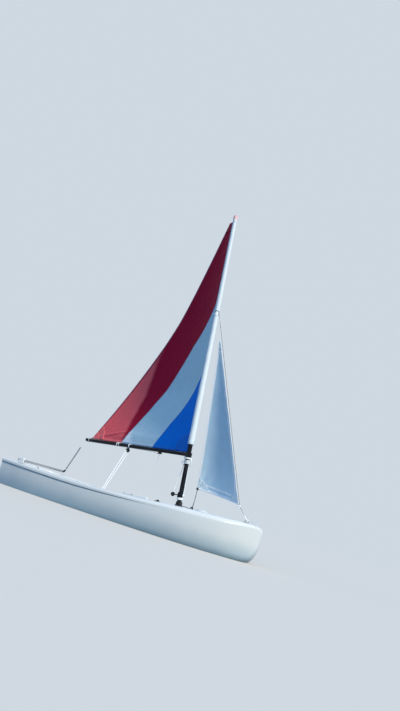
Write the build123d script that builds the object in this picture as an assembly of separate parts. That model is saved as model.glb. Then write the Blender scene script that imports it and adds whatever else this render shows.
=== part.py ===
from build123d import *
from collections import namedtuple
import math
import os

# Small two-person sailing dinghy: moulded hull, sleeved mainsail in three colours, jib on a forestay.
# Millimetres. The deck frame has x forward, y to port and z up, with its origin amidships.
# The finished boat floats bow up by TRIM, which turns the deck frame into the row frame.

# Driving dimensions
TRIM = 2.405
WATER_Z = 45.0
MAST_FOOT = (529.0, 0.0, 382.0)
MAST_RAKE = 3.372
MAST_LOWER_R = 25.0
MAST_UPPER_R = 21.0
MAST_WALL = 2.2
MAST_STEP_Z = 120.0
MAST_JOIN = 1760.0
MAST_TOP = 3690.0
BOOM_S = 538.0
BOOM_R = 20.0
BOOM_WALL = 2.0
BOOM_LENGTH = 1970.0
BOOM_SWING = 26.0
BOOM_RISE = 2.89
SAIL_THICK = 3.0
SAIL_FOOT = 565.0
SAIL_HEAD = 3650.0
SAIL_CHORD_FOOT = 1868.0
SAIL_CHORD_HEAD = 92.0
SAIL_DEPTH = 0.08
SAIL_TWIST = (26.0, 19.3, 7.4)
SEAM_LIP = 0.004
SLEEVE_FOOT = 655.0
SLEEVE_R_FOOT = 36.0
SLEEVE_R_HEAD = 25.0
SLEEVE_WALL = 2.5
HOUNDS = 2296.0
WINDOW_HEIGHT = 68.0
WINDOW_BACK = 16.0
JIB_TACK = (1176.0, 0.0, 520.0)
JIB_HEAD = (516.0, 0.0, 2374.0)
JIB_CLEW = (634.0, 200.0, 588.0)
JIB_CAMBER = 0.07
JIB_TOP = 0.97
STAY_FOOT = (1293.0, 0.0, 387.0)
STAY_BEND = (1189.0, 0.0, 514.0)
STAY_R = 2.0
FLOOR_Z = 130.0
WELL_AFT = -1330.0
WELL_FRONT = 330.0
WELL_TOP = 420.0
WELL_CORNER = 90.0
WELL_FLOOR_R = 24.0
WELL_RIM_R = 8.0
CASE_TOP = 300.0
CASE_LENGTH = 360.0
CASE_WIDTH = 120.0
BOARD_CHORD = 255.0
BOARD_THICK = 22.0
BOARD_X = 12.0
BOARD_TIP = -700.0
BOARD_LENGTH = 1045.0
RUDDER_X = -1502.0
PIVOT = (-1566.0, 0.0, 60.0)
BLADE_THICK = 16.0
BLADE_HEAD_R = 40.0
STOCK_WIDTH = 48.0
FORK_GAP = 27.0
FORK_TOP = 115.0
TILLER_AFT = (-1626.0, 0.0, 416.0)
TILLER_FRONT = (-965.0, 0.0, 406.0)
KNUCKLE = (-938.0, -22.0, 422.0)
EXTENSION_END = (-617.0, -400.0, 700.0)
TILLER_R = 13.0
SHEET_X = -450.0
TAIL_R = 2.5

Station = namedtuple("Station", "x half chine_y chine_z keel_z bilge_r bulge top lip drop camber")
SailRow = namedtuple("SailRow", "v red_seam blue_seam")
Pad = namedtuple("Pad", "name x y length width height")

# Hull stations, from the transom to the nose
HULL = [
    Station(-1475, 487, 450, 0, -32, 130, 8, 380, 12, 1.5, 12),
    Station(-1030, 560, 520, -22, -62, 150, 8, 352, 12, 1.5, 13),
    Station(-440, 599, 556, -38, -88, 170, 10, 324, 12, 2, 13),
    Station(150, 602, 552, -44, -98, 180, 20, 324, 9, 14, 13),
    Station(590, 569, 508, -44, -98, 180, 32, 342, 4, 38, 12),
    Station(885, 507, 440, -40, -90, 170, 34, 350, 2.5, 46, 11),
    Station(1120, 414, 345, -32, -74, 150, 30, 353, 2, 44, 9),
    Station(1290, 306, 240, -18, -48, 110, 22, 356, 2, 36, 7),
    Station(1390, 208, 150, 8, -14, 70, 14, 354, 2, 26, 5),
    Station(1440, 142, 95, 62, 45, 40, 9, 347, 2, 18, 4),
    Station(1466, 89, 58, 140, 128, 22, 5, 330, 2, 12, 3),
    Station(1477, 40, 26, 222, 214, 8, 2, 296, 1.5, 6, 2),
]
LIP_DEPTH = 34 / 12
SHOULDER_INSET = 8.0

# Sail rows from foot to head: the seams are fractions of the row's chord
SAIL = [
    SailRow(0.0, 0.668, 0.345),
    SailRow(0.104, 0.630, 0.272),
    SailRow(0.195, 0.588, 0.166),
    SailRow(0.352, 0.488, 0.0),
    SailRow(0.446, 0.412, 0.0),
    SailRow(0.545, 0.240, 0.0),
    SailRow(0.671, 0.0, 0.0),
    SailRow(0.820, 0.0, 0.0),
    SailRow(1.0, 0.0, 0.0),
]
BLUE_PEAK = 0.352
WHITE_PEAK = 0.671

# Plain pads on the deck
PADS = [
    Pad("quarter_pad_starboard", -1244, -470, 78, 30, 14),
    Pad("quarter_pad_port", -1244, 470, 78, 30, 14),
]

# Route of the outhaul's hanging tail, in the row frame
TAIL = [
    (40.3, 206.7, 834.5),
    (39.6, 206.9, 812.0),
    (37.4, 207.6, 786.0),
    (36.2, 209.0, 757.0),
    (37.0, 210.6, 727.0),
]

BASE = (Align.CENTER, Align.CENTER, Align.MIN)
os.makedirs("parts", exist_ok=True)
ROW = Location((0, 0, 0), (0, -TRIM, 0)) * Location((0, 0, -WATER_Z))
MAST = Location(MAST_FOOT, (0, -MAST_RAKE, 0))
BOOM = MAST * Location((0, 0, BOOM_S), (0, 0, -BOOM_SWING)) * Location((0, 0, 0), (0, BOOM_RISE, 0))


def save(name, shape):
    """Moves a deck-frame solid to the row frame and writes it as one node."""
    export_step(ROW * shape, "parts/" + name + ".step")


def solid(shape):
    """The single solid of a shape."""
    return shape.solids()[0]


def tube(radius, wall, low, high):
    """A hollow tube along z."""
    height = high - low
    return Pos(0, 0, low) * (Cylinder(radius, height, align=BASE) - Cylinder(radius - wall, height, align=BASE))


def rod(start, end, radius):
    """A round bar between two points."""
    a = Vector(*start)
    b = Vector(*end)
    plane = Plane(origin=a, z_dir=(b - a))
    return plane.location * Cylinder(radius, (b - a).length, align=BASE)


def across(radius, width):
    """A disc whose axis lies athwartships."""
    return Rot(90, 0, 0) * Cylinder(radius, width)


def tangent_round(corner, before, after, radius):
    """Start, middle and end of the arc that rounds a corner between two straight runs."""
    to_before = (before - corner).normalized()
    to_after = (after - corner).normalized()
    half_angle = math.acos(max(-1.0, min(1.0, to_before.dot(to_after)))) / 2
    reach = radius / math.tan(half_angle)
    inward = (to_before + to_after).normalized()
    middle = corner + inward * (radius / math.sin(half_angle) - radius)
    return corner + to_before * reach, middle, corner + to_after * reach


def deck_edge(row):
    """Half width of the deck, inside the shoulder that rolls down to the gunwale's lip."""
    return row.half - SHOULDER_INSET - row.drop


def hull_section(row):
    """One closed hull section of lines and arcs."""
    lip_top = row.top - row.drop
    side_top = lip_top - row.lip * LIP_DEPTH

    def at(y, z):
        return Vector(row.x, y, z)

    outward = at(row.half + row.bulge, side_top)
    a, m, b = tangent_round(at(row.chine_y, row.chine_z), at(0, row.keel_z), outward, row.bilge_r)
    side = Edge.make_tangent_arc(b, outward - b, at(row.half, side_top)) @ 0.5
    right = [
        (row.half, side_top),
        (row.half + row.lip, side_top + row.lip * 0.4),
        (row.half + row.lip, lip_top - row.lip * 0.5),
        (row.half + row.lip * 0.5, lip_top),
    ]
    inset = right[3][0] - deck_edge(row)
    radius = (inset * inset + row.drop * row.drop) / (2 * row.drop)
    half_angle = math.asin(inset / radius) / 2
    shoulder = (deck_edge(row) + radius * math.sin(half_angle), row.top - radius * (1 - math.cos(half_angle)))
    edges = [
        Edge.make_line(at(0, row.keel_z), a),
        Edge.make_three_point_arc(a, m, b),
        Edge.make_three_point_arc(b, side, at(*right[0])),
    ]
    for low, high in zip(right, right[1:]):
        edges.append(Edge.make_line(at(*low), at(*high)))
    edges.append(Edge.make_three_point_arc(at(*right[3]), at(*shoulder), at(deck_edge(row), row.top)))
    edges.append(
        Edge.make_three_point_arc(
            at(deck_edge(row), row.top), at(0, row.top + row.camber), at(-deck_edge(row), row.top)
        )
    )
    left = [(-y, z) for y, z in reversed(right)]
    edges.append(
        Edge.make_three_point_arc(at(-deck_edge(row), row.top), at(-shoulder[0], shoulder[1]), at(*left[0]))
    )
    for high, low in zip(left, left[1:]):
        edges.append(Edge.make_line(at(*high), at(*low)))
    edges.append(Edge.make_three_point_arc(at(*left[3]), at(-side.Y, side.Z), at(-b.Y, b.Z)))
    edges.append(Edge.make_three_point_arc(at(-b.Y, b.Z), at(-m.Y, m.Z), at(-a.Y, a.Z)))
    edges.append(Edge.make_line(at(-a.Y, a.Z), at(0, row.keel_z)))
    return Wire(edges)


def between(rows, place):
    """A station between two others, by a smooth curve through each column (place counts rows)."""
    i = min(int(place), len(rows) - 2)
    t = place - i
    before = rows[max(i - 1, 0)]
    after = rows[min(i + 2, len(rows) - 1)]
    values = []
    for p, a, b, n in zip(before, rows[i], rows[i + 1], after):
        slope_a = (b - p) / 2
        slope_b = (n - a) / 2
        square = 3 * (b - a) - 2 * slope_a - slope_b
        cube = 2 * (a - b) + slope_a + slope_b
        values.append(a + slope_a * t + square * t * t + cube * t * t * t)
    return Station(*values)


def deck_top(x, y=0.0):
    """Height of the cambered deck at a place on it."""
    rows = [between(HULL, i / 10) for i in range(10 * len(HULL) - 9)]
    aft, fore = next(pair for pair in zip(rows, rows[1:]) if pair[1].x >= x)
    share = (x - aft.x) / (fore.x - aft.x)
    row = [a + (b - a) * share for a, b in zip(aft, fore)]
    row = Station(*row)
    return row.top + row.camber * (1 - (y / deck_edge(row)) ** 2)


def well_face(z, grow):
    """The cockpit's outline at one height, drawn as a rounded six-sided shape."""
    points = [
        (WELL_AFT - grow, -300 - grow),
        (-300, -415 - grow),
        (WELL_FRONT + grow, -365 - grow),
        (WELL_FRONT + grow, 365 + grow),
        (-300, 415 + grow),
        (WELL_AFT - grow, 300 + grow),
    ]
    outline = make_face(Polyline(*points, close=True))
    outline = fillet(outline.vertices(), WELL_CORNER + grow)
    return Plane.XY.offset(z) * outline


def well_rim(shape):
    """The edges where the cockpit's wall meets the deck."""
    low = FLOOR_Z + 150
    return [
        edge
        for edge in shape.edges()
        if edge.center().Z > low
        and abs(edge.center().Y) < 440
        and WELL_AFT - 40 < edge.center().X < WELL_FRONT + 40
    ]


# Hull, its cockpit, the daggerboard's case and the mast's step
places = [i / 2 for i in range(2 * len(HULL) - 1)]
hull = Solid.make_loft([hull_section(between(HULL, place)) for place in places])
well = loft([well_face(FLOOR_Z, -25), well_face(WELL_TOP, 14)])
well = fillet(well.edges().group_by(Axis.Z)[0], WELL_FLOOR_R)
hull = hull - well
hull = fillet(well_rim(hull), WELL_RIM_R)
case = Pos(BOARD_X, 0, FLOOR_Z - 20) * Box(CASE_LENGTH, CASE_WIDTH, CASE_TOP - FLOOR_Z + 20, align=BASE)
case = fillet(case.edges().filter_by(Axis.Z), 45)
case = fillet(case.edges().group_by(Axis.Z)[-1], 8)
hull = hull + case
slot = Pos(BOARD_X, 0, 0) * Box(BOARD_CHORD + 12, BOARD_THICK + 11, 1000)
slot = fillet(slot.edges().filter_by(Axis.Z), 14)
hull = hull - slot
step = MAST * Pos(0, 0, MAST_STEP_Z - MAST_FOOT[2]) * Cylinder(MAST_LOWER_R + 1.2, 600, align=BASE)
hull = hull - step
for side in (-1, 1):
    drain = Pos(-1400, side * 180, FLOOR_Z + 20) * Rot(0, 90, 0) * Cylinder(18, 400)
    hull = hull - drain
save("hull", solid(hull))

# Mast
step_s = MAST_STEP_Z - MAST_FOOT[2] + 1.0
save("mast_lower", MAST * tube(MAST_LOWER_R, MAST_WALL, step_s, MAST_JOIN))
save("mast_upper", MAST * tube(MAST_UPPER_R, MAST_WALL, MAST_JOIN + 1, MAST_TOP))
joint = Pos(0, 0, MAST_JOIN - 60) * Cylinder(MAST_LOWER_R - MAST_WALL - 0.3, 60, align=BASE)
joint = joint + Pos(0, 0, MAST_JOIN) * Cylinder(MAST_UPPER_R - MAST_WALL - 0.3, 120, align=BASE)
save("mast_joint", MAST * joint)
cap = Pos(0, 0, MAST_TOP) * Cylinder(MAST_UPPER_R + 1.5, 28, align=BASE)
cap = chamfer(cap.edges().group_by(Axis.Z)[-1], 8)
save("mast_cap", MAST * cap)
collar = tube(44, 44 - MAST_LOWER_R - 0.6, 2, 12) + tube(36, 36 - MAST_LOWER_R - 0.6, 12, 46)
deck_s = deck_top(MAST_FOOT[0]) - MAST_FOOT[2]
save("mast_base_collar", MAST * Pos(0, 0, deck_s + 1.5) * collar)
save("gooseneck_collar", MAST * tube(35, 35 - MAST_LOWER_R - 0.4, BOOM_S - 52, BOOM_S - 32))
cleat = Pos(-30, 0, 88) * Box(9, 18, 60) + Pos(-60, 0, 88) * Box(60, 10, 10)
cleat = cleat + Pos(-92, 0, 88) * across(24, 5) + Pos(-92, 0, 88) * across(19, 16)
save("downhaul_cleat", MAST * cleat)
tang = Pos(26, 0, HOUNDS) * Box(8, 12, 44) + Pos(33, 0, HOUNDS - 6) * Box(16, 5, 22)

# Forestay and bow
top = (MAST * Pos(36, 0, HOUNDS - 12)).position
stay = rod(STAY_FOOT, STAY_BEND, STAY_R) + rod(STAY_BEND, (top.X, top.Y, top.Z), STAY_R)
stay = solid(stay + Pos(*STAY_BEND) * Sphere(STAY_R))
save("forestay", stay)
bow_z = deck_top(STAY_FOOT[0])
plate = Pos(1293, 0, bow_z) * Box(70, 34, 10) + Pos(1298, 0, bow_z + 13) * Box(46, 5, 28)
plate = plate - Pos(1310, 0, bow_z + 17) * across(5, 20)
plate = plate - hull - stay
save("bow_fitting", solid(plate))
save("hounds_tang", MAST * tang - stay)
grip_z = deck_top(1374) + 10
grip = Pos(1374, 0, grip_z) * Box(92, 30, 44)
grip = fillet(grip.edges().filter_by(Axis.Y).group_by(Axis.Z)[-1], 20)
gap = Pos(1374, 0, grip_z + 2) * Box(56, 60, 22)
save("bow_handle", grip - gap - hull)

# Fittings on the deck and the cockpit floor
for row in PADS:
    pad = Pos(row.x, row.y, deck_top(row.x, row.y) + 3) * Box(row.length, row.width, row.height)
    pad = fillet(pad.edges().filter_by(Axis.Z), 10)
    pad = chamfer(pad.edges().group_by(Axis.Z)[-1], 3)
    save(row.name, pad - hull)
for name, side in (("starboard", -1), ("port", 1)):
    cleat_z = deck_top(400, 330) + 1.5
    base = Pos(400, side * 330, cleat_z) * Box(60, 40, 8)
    base = fillet(base.edges().filter_by(Axis.Z), 10)
    for y in (-11, 11):
        base = base + Pos(402, side * 330 + y, cleat_z) * Cylinder(9.5, 18, align=BASE)
    save("jib_cleat_" + name, base - hull)
    lead_z = deck_top(610, 250)
    lead = Pos(610, side * 250, lead_z) * Box(60, 34, 8) + Pos(610, side * 250, lead_z + 17) * across(17, 14)
    lead = lead - Pos(610, side * 250, lead_z + 17) * across(7, 30)
    save("jib_fairlead_" + name, lead - hull)
    strap = Pos(-620, side * 105, FLOOR_Z + 52) * Box(760, 48, 4)
    for end in (-1, 1):
        strap = strap + Pos(-620 + end * 378, side * 105, FLOOR_Z + 27) * Box(4, 48, 54)
    save("toe_strap_" + name, strap)
hatch_z = deck_top(800)
hatch = Pos(800, 0, hatch_z - 5) * Cylinder(72, 16) + Pos(800, 0, hatch_z + 5) * Cylinder(60, 8)
hatch = hatch + Pos(800, 0, hatch_z + 14) * Box(84, 12, 12)
save("deck_hatch", hatch - hull)
swivel = Pos(SHEET_X, 0, FLOOR_Z) * Cylinder(34, 10, align=BASE)
swivel = swivel + Pos(SHEET_X, 0, FLOOR_Z + 10) * Cone(22, 12, 23, align=BASE)
save("sheet_swivel", swivel)


def sheave_block(radius, strap_low, strap_high):
    """A rope block with two cheeks, a grooved wheel and a strap, round a wheel axis athwartships."""
    wheel = across(radius - 5, 12) - across(radius - 1, 5) + across(radius - 9, 12)
    block = wheel + across(4, 24)
    for y in (-8.5, 8.5):
        block = block + Pos(0, y, 0) * across(radius, 5)
    strap = Pos(0, 0, (strap_low + strap_high) / 2) * Box(14, 22, strap_high - strap_low)
    return block + strap - across(radius - 4, 9) + wheel


save("floor_block", Pos(SHEET_X, 0, FLOOR_Z + 60) * Rot(0, 0, 90) * sheave_block(26, -27, -18))
bung = Pos(-1480, 330, 40) * Rot(0, 90, 0) * Cylinder(20, 14)
save("drain_bung", bung - hull)

# Rudder head: a moulded fork round the blade, with the tiller through its top
sides = make_face(
    Polyline((-1611, 60), (-1611, 300), (-1600, 442), (-1532, 442), (-1521, 300), (-1521, 60), close=True)
)
sides = sides + Pos(PIVOT[0], PIVOT[2]) * Circle(45)
sides = fillet(sides.vertices().group_by(Axis.Y)[-1], 14)
stock = extrude(Plane.XZ * sides, STOCK_WIDTH / 2, both=True)
stock = chamfer(stock.faces().filter_by(Axis.Y).edges(), 5)
stock = stock - Pos(-1566, 0, FORK_TOP) * Box(200, FORK_GAP, 300, align=(Align.CENTER, Align.CENTER, Align.MAX))
tiller = rod(TILLER_AFT, TILLER_FRONT, TILLER_R)
bolt = Pos(*PIVOT) * across(8, 60)
stock = stock - tiller - bolt
save("rudder_stock", stock)
save("tiller", tiller)
save("blade_bolt", bolt)

# Rudder hangings: a pin in each ring, on a strap that wraps the stock
for name, z in (("lower", 70.0), ("upper", 262.0)):
    gudgeon = Pos(-1478, 0, z) * Box(6, 60, 46) + Pos(-1492, 0, z) * Box(34, 24, 8)
    gudgeon = gudgeon + Pos(RUDDER_X, 0, z) * Cylinder(12, 8)
    gudgeon = gudgeon - Pos(RUDDER_X, 0, z) * Cylinder(6, 30)
    save("gudgeon_" + name, gudgeon)
    pintle = Pos(RUDDER_X, 0, z - 6) * Cylinder(5, 32) + Pos(-1506.5, 0, z + 10) * Box(27, 16, 8)
    pintle = pintle + Pos(-1555.5, 0, z + 10) * Box(75, STOCK_WIDTH + 6, 18)
    pintle = pintle - Pos(-1571, 0, z + 10) * Box(100, STOCK_WIDTH, 40)
    save("pintle_" + name, pintle)

# Tiller extension and rudder blade
extension = rod(KNUCKLE, EXTENSION_END, 8)
save("tiller_extension", extension)
knuckle = rod(TILLER_FRONT, KNUCKLE, 11)
save("extension_joint", solid(knuckle - tiller - extension))
side_view = make_face(
    Polyline(
        (-1606, 60), (-1606, -25), (-1650, -60), (-1636, -540), (-1600, -590),
        (-1530, -590), (-1488, -60), (-1526, -25), (-1526, 60), close=True,
    )
)
side_view = side_view + Pos(PIVOT[0], PIVOT[2]) * Circle(BLADE_HEAD_R)
blade = extrude(Plane.XZ * side_view, BLADE_THICK / 2, both=True)
blade = chamfer(blade.faces().filter_by(Axis.Y).edges(), 4)
save("rudder_blade", solid(blade - Pos(*PIVOT) * across(9, 60)))

# Daggerboard: a foil section with a round nose and a thin tail, cut to a rounded tip
half_chord = BOARD_CHORD / 2
half_thick = BOARD_THICK / 2
shoulder = Edge.make_three_point_arc(
    Vector(80, half_thick, 0), Vector(99, half_thick - 1, 0), Vector(half_chord - 9.5, half_thick - 4, 0)
)
section = [
    Edge.make_three_point_arc(
        Vector(half_chord - 9.5, half_thick - 4, 0),
        Vector(half_chord, 0, 0),
        Vector(half_chord - 9.5, 4 - half_thick, 0),
    ),
    shoulder,
    shoulder.mirror(Plane.XZ),
    Edge.make_line((80, half_thick, 0), (-20, half_thick, 0)),
    Edge.make_line((80, -half_thick, 0), (-20, -half_thick, 0)),
    Edge.make_line((-20, half_thick, 0), (-half_chord, 2, 0)),
    Edge.make_line((-20, -half_thick, 0), (-half_chord, -2, 0)),
    Edge.make_line((-half_chord, 2, 0), (-half_chord, -2, 0)),
]
board = extrude(make_face(section), BOARD_LENGTH)
trim = Pos(0, 0, BOARD_LENGTH / 2) * Box(BOARD_CHORD + 2, 60, BOARD_LENGTH)
trim = fillet(trim.edges().filter_by(Axis.Y).group_by(Axis.Z)[0], 60)
save("daggerboard", solid(Pos(BOARD_X, 0, BOARD_TIP) * (board & trim)))
head = Pos(BOARD_X, 0, CASE_TOP + 32) * Box(BOARD_CHORD + 46, 50, 54)
head = fillet(head.edges().filter_by(Axis.Z), 20)
head = chamfer(head.edges().group_by(Axis.Z)[-1], 6)
head = head - Pos(BOARD_X, 0, CASE_TOP + 5 + 20) * Box(BOARD_CHORD + 0.6, BOARD_THICK + 0.6, 40.6)
grip_hole = Pos(BOARD_X, 0, CASE_TOP + 50) * Box(110, 80, 9)
save("daggerboard_head", head - grip_hole)

# Boom
along_boom = Rot(0, -90, 0)
save("boom", BOOM * along_boom * tube(BOOM_R, BOOM_WALL, 86, BOOM_LENGTH - 4))
end_cap = along_boom * Pos(0, 0, BOOM_LENGTH - 4) * Cylinder(BOOM_R + 1.5, 16, align=BASE)
save("boom_end_cap", BOOM * end_cap)
jaw = tube(44, 44 - 31, -26, 26)
jaw = jaw - Pos(40, 0, 0) * Box(60, 100, 80)
jaw = jaw + along_boom * Pos(0, 0, 42) * Cylinder(BOOM_R + 1, 43, align=BASE)
save("boom_jaw", BOOM * jaw)
outhaul = Pos(-470, 0, -BOOM_R - 6) * Box(44, 18, 11) + Pos(-470, 0, -BOOM_R - 16) * Box(70, 12, 9)
save("outhaul_cleat", BOOM * outhaul)
sheet_block = Pos(-1060, 0, -BOOM_R - 36) * Rot(0, 0, 90) * sheave_block(25, 18, 44)
spar = along_boom * Pos(0, 0, 1060) * Cylinder(BOOM_R, 120)
save("boom_block", BOOM * (sheet_block - spar))


def corner_radius(before, corner, after):
    """Radius of the arc at one corner of a cord's route."""
    turn = (corner - before).get_angle(after - corner)
    return 0.45 * min((corner - before).length, (after - corner).length) / math.tan(math.radians(turn / 2))


def cord(route, radius):
    """A round cord along straight runs joined by tangent arcs."""
    points = [Vector(*point) for point in route]
    edges = []
    start = points[0]
    for before, corner, after in zip(points, points[1:], points[2:]):
        a, m, b = tangent_round(corner, before, after, corner_radius(before, corner, after))
        edges.append(Edge.make_line(start, a))
        edges.append(Edge.make_three_point_arc(a, m, b))
        start = b
    edges.append(Edge.make_line(start, points[-1]))
    ring = Plane(origin=points[0], z_dir=points[1] - points[0]) * Circle(radius)
    return sweep(ring, path=Wire(edges))


export_step(solid(cord(TAIL, TAIL_R)), "parts/outhaul_tail.step")


# Mainsail
def sleeve_radius(s):
    """Outside radius of the luff sleeve at a height along the mast."""
    return SLEEVE_R_FOOT + (SLEEVE_R_HEAD - SLEEVE_R_FOOT) * (s - SAIL_FOOT) / (SAIL_HEAD - SAIL_FOOT)


def sail_row(v):
    """Luff point, chord direction, leeward direction, chord and depth of one sail row, on the mast."""
    turn = math.radians(SAIL_TWIST[0] + SAIL_TWIST[1] * v + SAIL_TWIST[2] * v * v)
    rise = math.radians(BOOM_RISE * (1 - v))
    chord = SAIL_CHORD_FOOT + (SAIL_CHORD_HEAD - SAIL_CHORD_FOOT) * v
    luff = Vector(0, 0, SAIL_FOOT + v * (SAIL_HEAD - SAIL_FOOT))
    along = Vector(-math.cos(turn) * math.cos(rise), math.sin(turn) * math.cos(rise), math.sin(rise))
    lee = Vector(math.sin(turn), math.cos(turn), 0)
    depth = chord * SAIL_DEPTH * min(1.0, max(0.15, v / 0.25)) * (1 - 0.4 * v)
    return luff, along, lee, chord, depth


def curved_band(luff, along, lee, chord, depth, start, end):
    """A thin band on a circular arc over a chord, between two fractions of that chord."""
    radius = (chord * chord / 4 + depth * depth) / (2 * depth)
    swing = math.asin(chord / 2 / radius)
    centre = luff + along * (chord / 2) - lee * (radius - depth)

    def at(u, r):
        angle = swing * (2 * u - 1)
        return centre + along * (r * math.sin(angle)) + lee * (r * math.cos(angle))

    mid = (start + end) / 2
    inner = radius - SAIL_THICK / 2
    outer = radius + SAIL_THICK / 2
    edges = [
        Edge.make_three_point_arc(at(start, inner), at(mid, inner), at(end, inner)),
        Edge.make_line(at(end, inner), at(end, outer)),
        Edge.make_three_point_arc(at(end, outer), at(mid, outer), at(start, outer)),
        Edge.make_line(at(start, outer), at(start, inner)),
    ]
    return Wire(edges)


def luff_start(v):
    """The chord fraction at which the cloth leaves the sleeve."""
    s = SAIL_FOOT + v * (SAIL_HEAD - SAIL_FOOT)
    chord = SAIL_CHORD_FOOT + (SAIL_CHORD_HEAD - SAIL_CHORD_FOOT) * v
    return (sleeve_radius(s) + 0.6) / chord


def panel(bands):
    """A panel lofted through its bands with straight rulings."""
    wires = [curved_band(*sail_row(v), start, end) for v, start, end in bands]
    return Solid.make_loft(wires, ruled=True)


# The white and blue panels end in narrow points where their seams meet the sleeve.
red = []
white = []
blue = []
for row in SAIL:
    first = luff_start(row.v)
    lip = first + SEAM_LIP
    red_lip = lip if row.v == WHITE_PEAK else first
    white_lip = lip if row.v == BLUE_PEAK else first
    red.append((row.v, max(red_lip, row.red_seam), 1.0))
    if row.v <= WHITE_PEAK:
        white.append((row.v, max(white_lip, row.blue_seam), max(lip, row.red_seam)))
    if row.v <= BLUE_PEAK:
        blue.append((row.v, first, max(lip, row.blue_seam)))
save("mainsail_red", MAST * panel(red))
save("mainsail_white", MAST * panel(white))
save("mainsail_blue", MAST * panel(blue))

# Luff sleeve: a tapered tube with its seam aft, open in front of the hounds
aft = Rot(0, 0, 180 - BOOM_SWING)
height = SAIL_HEAD - SLEEVE_FOOT
low_r = sleeve_radius(SLEEVE_FOOT)
high_r = sleeve_radius(SAIL_HEAD)
outer = Solid.make_cone(low_r, high_r, height)
inner = Solid.make_cone(low_r - SLEEVE_WALL, high_r - SLEEVE_WALL, height)
sleeve = Pos(0, 0, SLEEVE_FOOT) * aft * (outer - inner)
reach = 140.0
window = Rot(0, 0, -BOOM_SWING) * Pos(reach / 2 - WINDOW_BACK, 0, HOUNDS - 2) * Box(reach, reach, WINDOW_HEIGHT)
save("luff_sleeve", MAST * solid(sleeve - window))


# Jib
def jib_row(w):
    """Luff point, chord direction, leeward direction, chord and depth of the jib at a fraction of its luff."""
    tack = Vector(*JIB_TACK)
    tip = Vector(*JIB_HEAD)
    clew = Vector(*JIB_CLEW)
    chord = (clew - tack).length * (1 - w)
    along = (clew - tack).normalized()
    lee = along.cross((tip - tack).normalized())
    if lee.Y < 0:
        lee = lee * -1
    lee = (lee - along * lee.dot(along)).normalized()
    return tack + (tip - tack) * w, along, lee, chord, chord * JIB_CAMBER


jib_bands = [curved_band(*jib_row(w), 0, 1) for w in (0.0, JIB_TOP)]
save("jib", Solid.make_loft(jib_bands, ruled=True))
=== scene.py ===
"""Two-person sailing dinghy under full sail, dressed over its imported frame.

Lengths are metres. The deck frame has x towards the bow, y to port and z up, with its origin
amidships; Frames turns it into the row frame, in which the boat floats bow up on the plane z = 0.
"""

from __future__ import annotations

import logging
import math
from dataclasses import dataclass
from enum import Enum

import bmesh
import bpy
import numpy as np
from mathutils import Matrix

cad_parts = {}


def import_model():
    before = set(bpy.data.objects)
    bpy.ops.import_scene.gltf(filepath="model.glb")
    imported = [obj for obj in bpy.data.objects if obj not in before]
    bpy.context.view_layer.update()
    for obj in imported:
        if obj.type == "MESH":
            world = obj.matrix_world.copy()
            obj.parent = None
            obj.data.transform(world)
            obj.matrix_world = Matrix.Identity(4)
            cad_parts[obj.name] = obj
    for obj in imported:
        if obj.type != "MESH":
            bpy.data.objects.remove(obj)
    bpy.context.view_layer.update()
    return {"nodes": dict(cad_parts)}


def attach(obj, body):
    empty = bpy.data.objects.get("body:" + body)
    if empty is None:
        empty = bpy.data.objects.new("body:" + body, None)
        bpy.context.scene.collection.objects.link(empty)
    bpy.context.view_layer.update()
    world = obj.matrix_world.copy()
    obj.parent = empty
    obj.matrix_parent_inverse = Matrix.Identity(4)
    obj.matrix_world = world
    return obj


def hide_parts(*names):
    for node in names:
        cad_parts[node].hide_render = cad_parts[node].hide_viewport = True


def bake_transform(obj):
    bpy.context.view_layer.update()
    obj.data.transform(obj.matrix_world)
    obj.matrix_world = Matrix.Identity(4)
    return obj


LOG = logging.getLogger("dinghy")
TURN = 2 * math.pi
QUARTER = math.pi / 2
Array = np.ndarray
Color = tuple[float, float, float]
Point = tuple[float, float, float]
Piece = bpy.types.Object
Material = bpy.types.Material
Socket = bpy.types.NodeSocket


# Arrays and frames


def joined(*parts: Array | float) -> Array:
    """Puts arrays that broadcast together side by side on a new last axis."""
    return np.stack(np.broadcast_arrays(*parts), axis=-1)


def unit(vectors: Array) -> Array:
    """Scales vectors to a length of one."""
    return vectors / np.linalg.norm(vectors, axis=-1, keepdims=True)


def distances(path: Array) -> Array:
    """Gives the distance along a path to each of its points."""
    return np.concatenate([[0.0], np.cumsum(np.linalg.norm(np.diff(path, axis=0), axis=1))])


def circle(steps: int) -> Array:
    """Gives the angles of a whole turn, both ends included."""
    return np.linspace(0.0, TURN, steps + 1)


def between(start: Array, end: Array, t: Array | float) -> Array:
    """Goes straight from start to end as t goes from 0 to 1."""
    return start * (1 - t) + end * t


def turned(axis: str, degrees: float) -> Array:
    """Makes a 4 by 4 matrix that turns about the axis "x", "y" or "z"."""
    return np.array(Matrix.Rotation(math.radians(degrees), 4, axis.upper()))


def moved(x: float, y: float, z: float) -> Array:
    """Makes a 4 by 4 matrix that moves by x, y and z."""
    return np.array(Matrix.Translation((x, y, z)))


def place(matrix: Array, points: Array | Point) -> Array:
    """Takes points, whose last axis holds x, y and z, through a 4 by 4 matrix."""
    return np.asarray(points, float) @ matrix[:3, :3].T + matrix[:3, 3]


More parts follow.
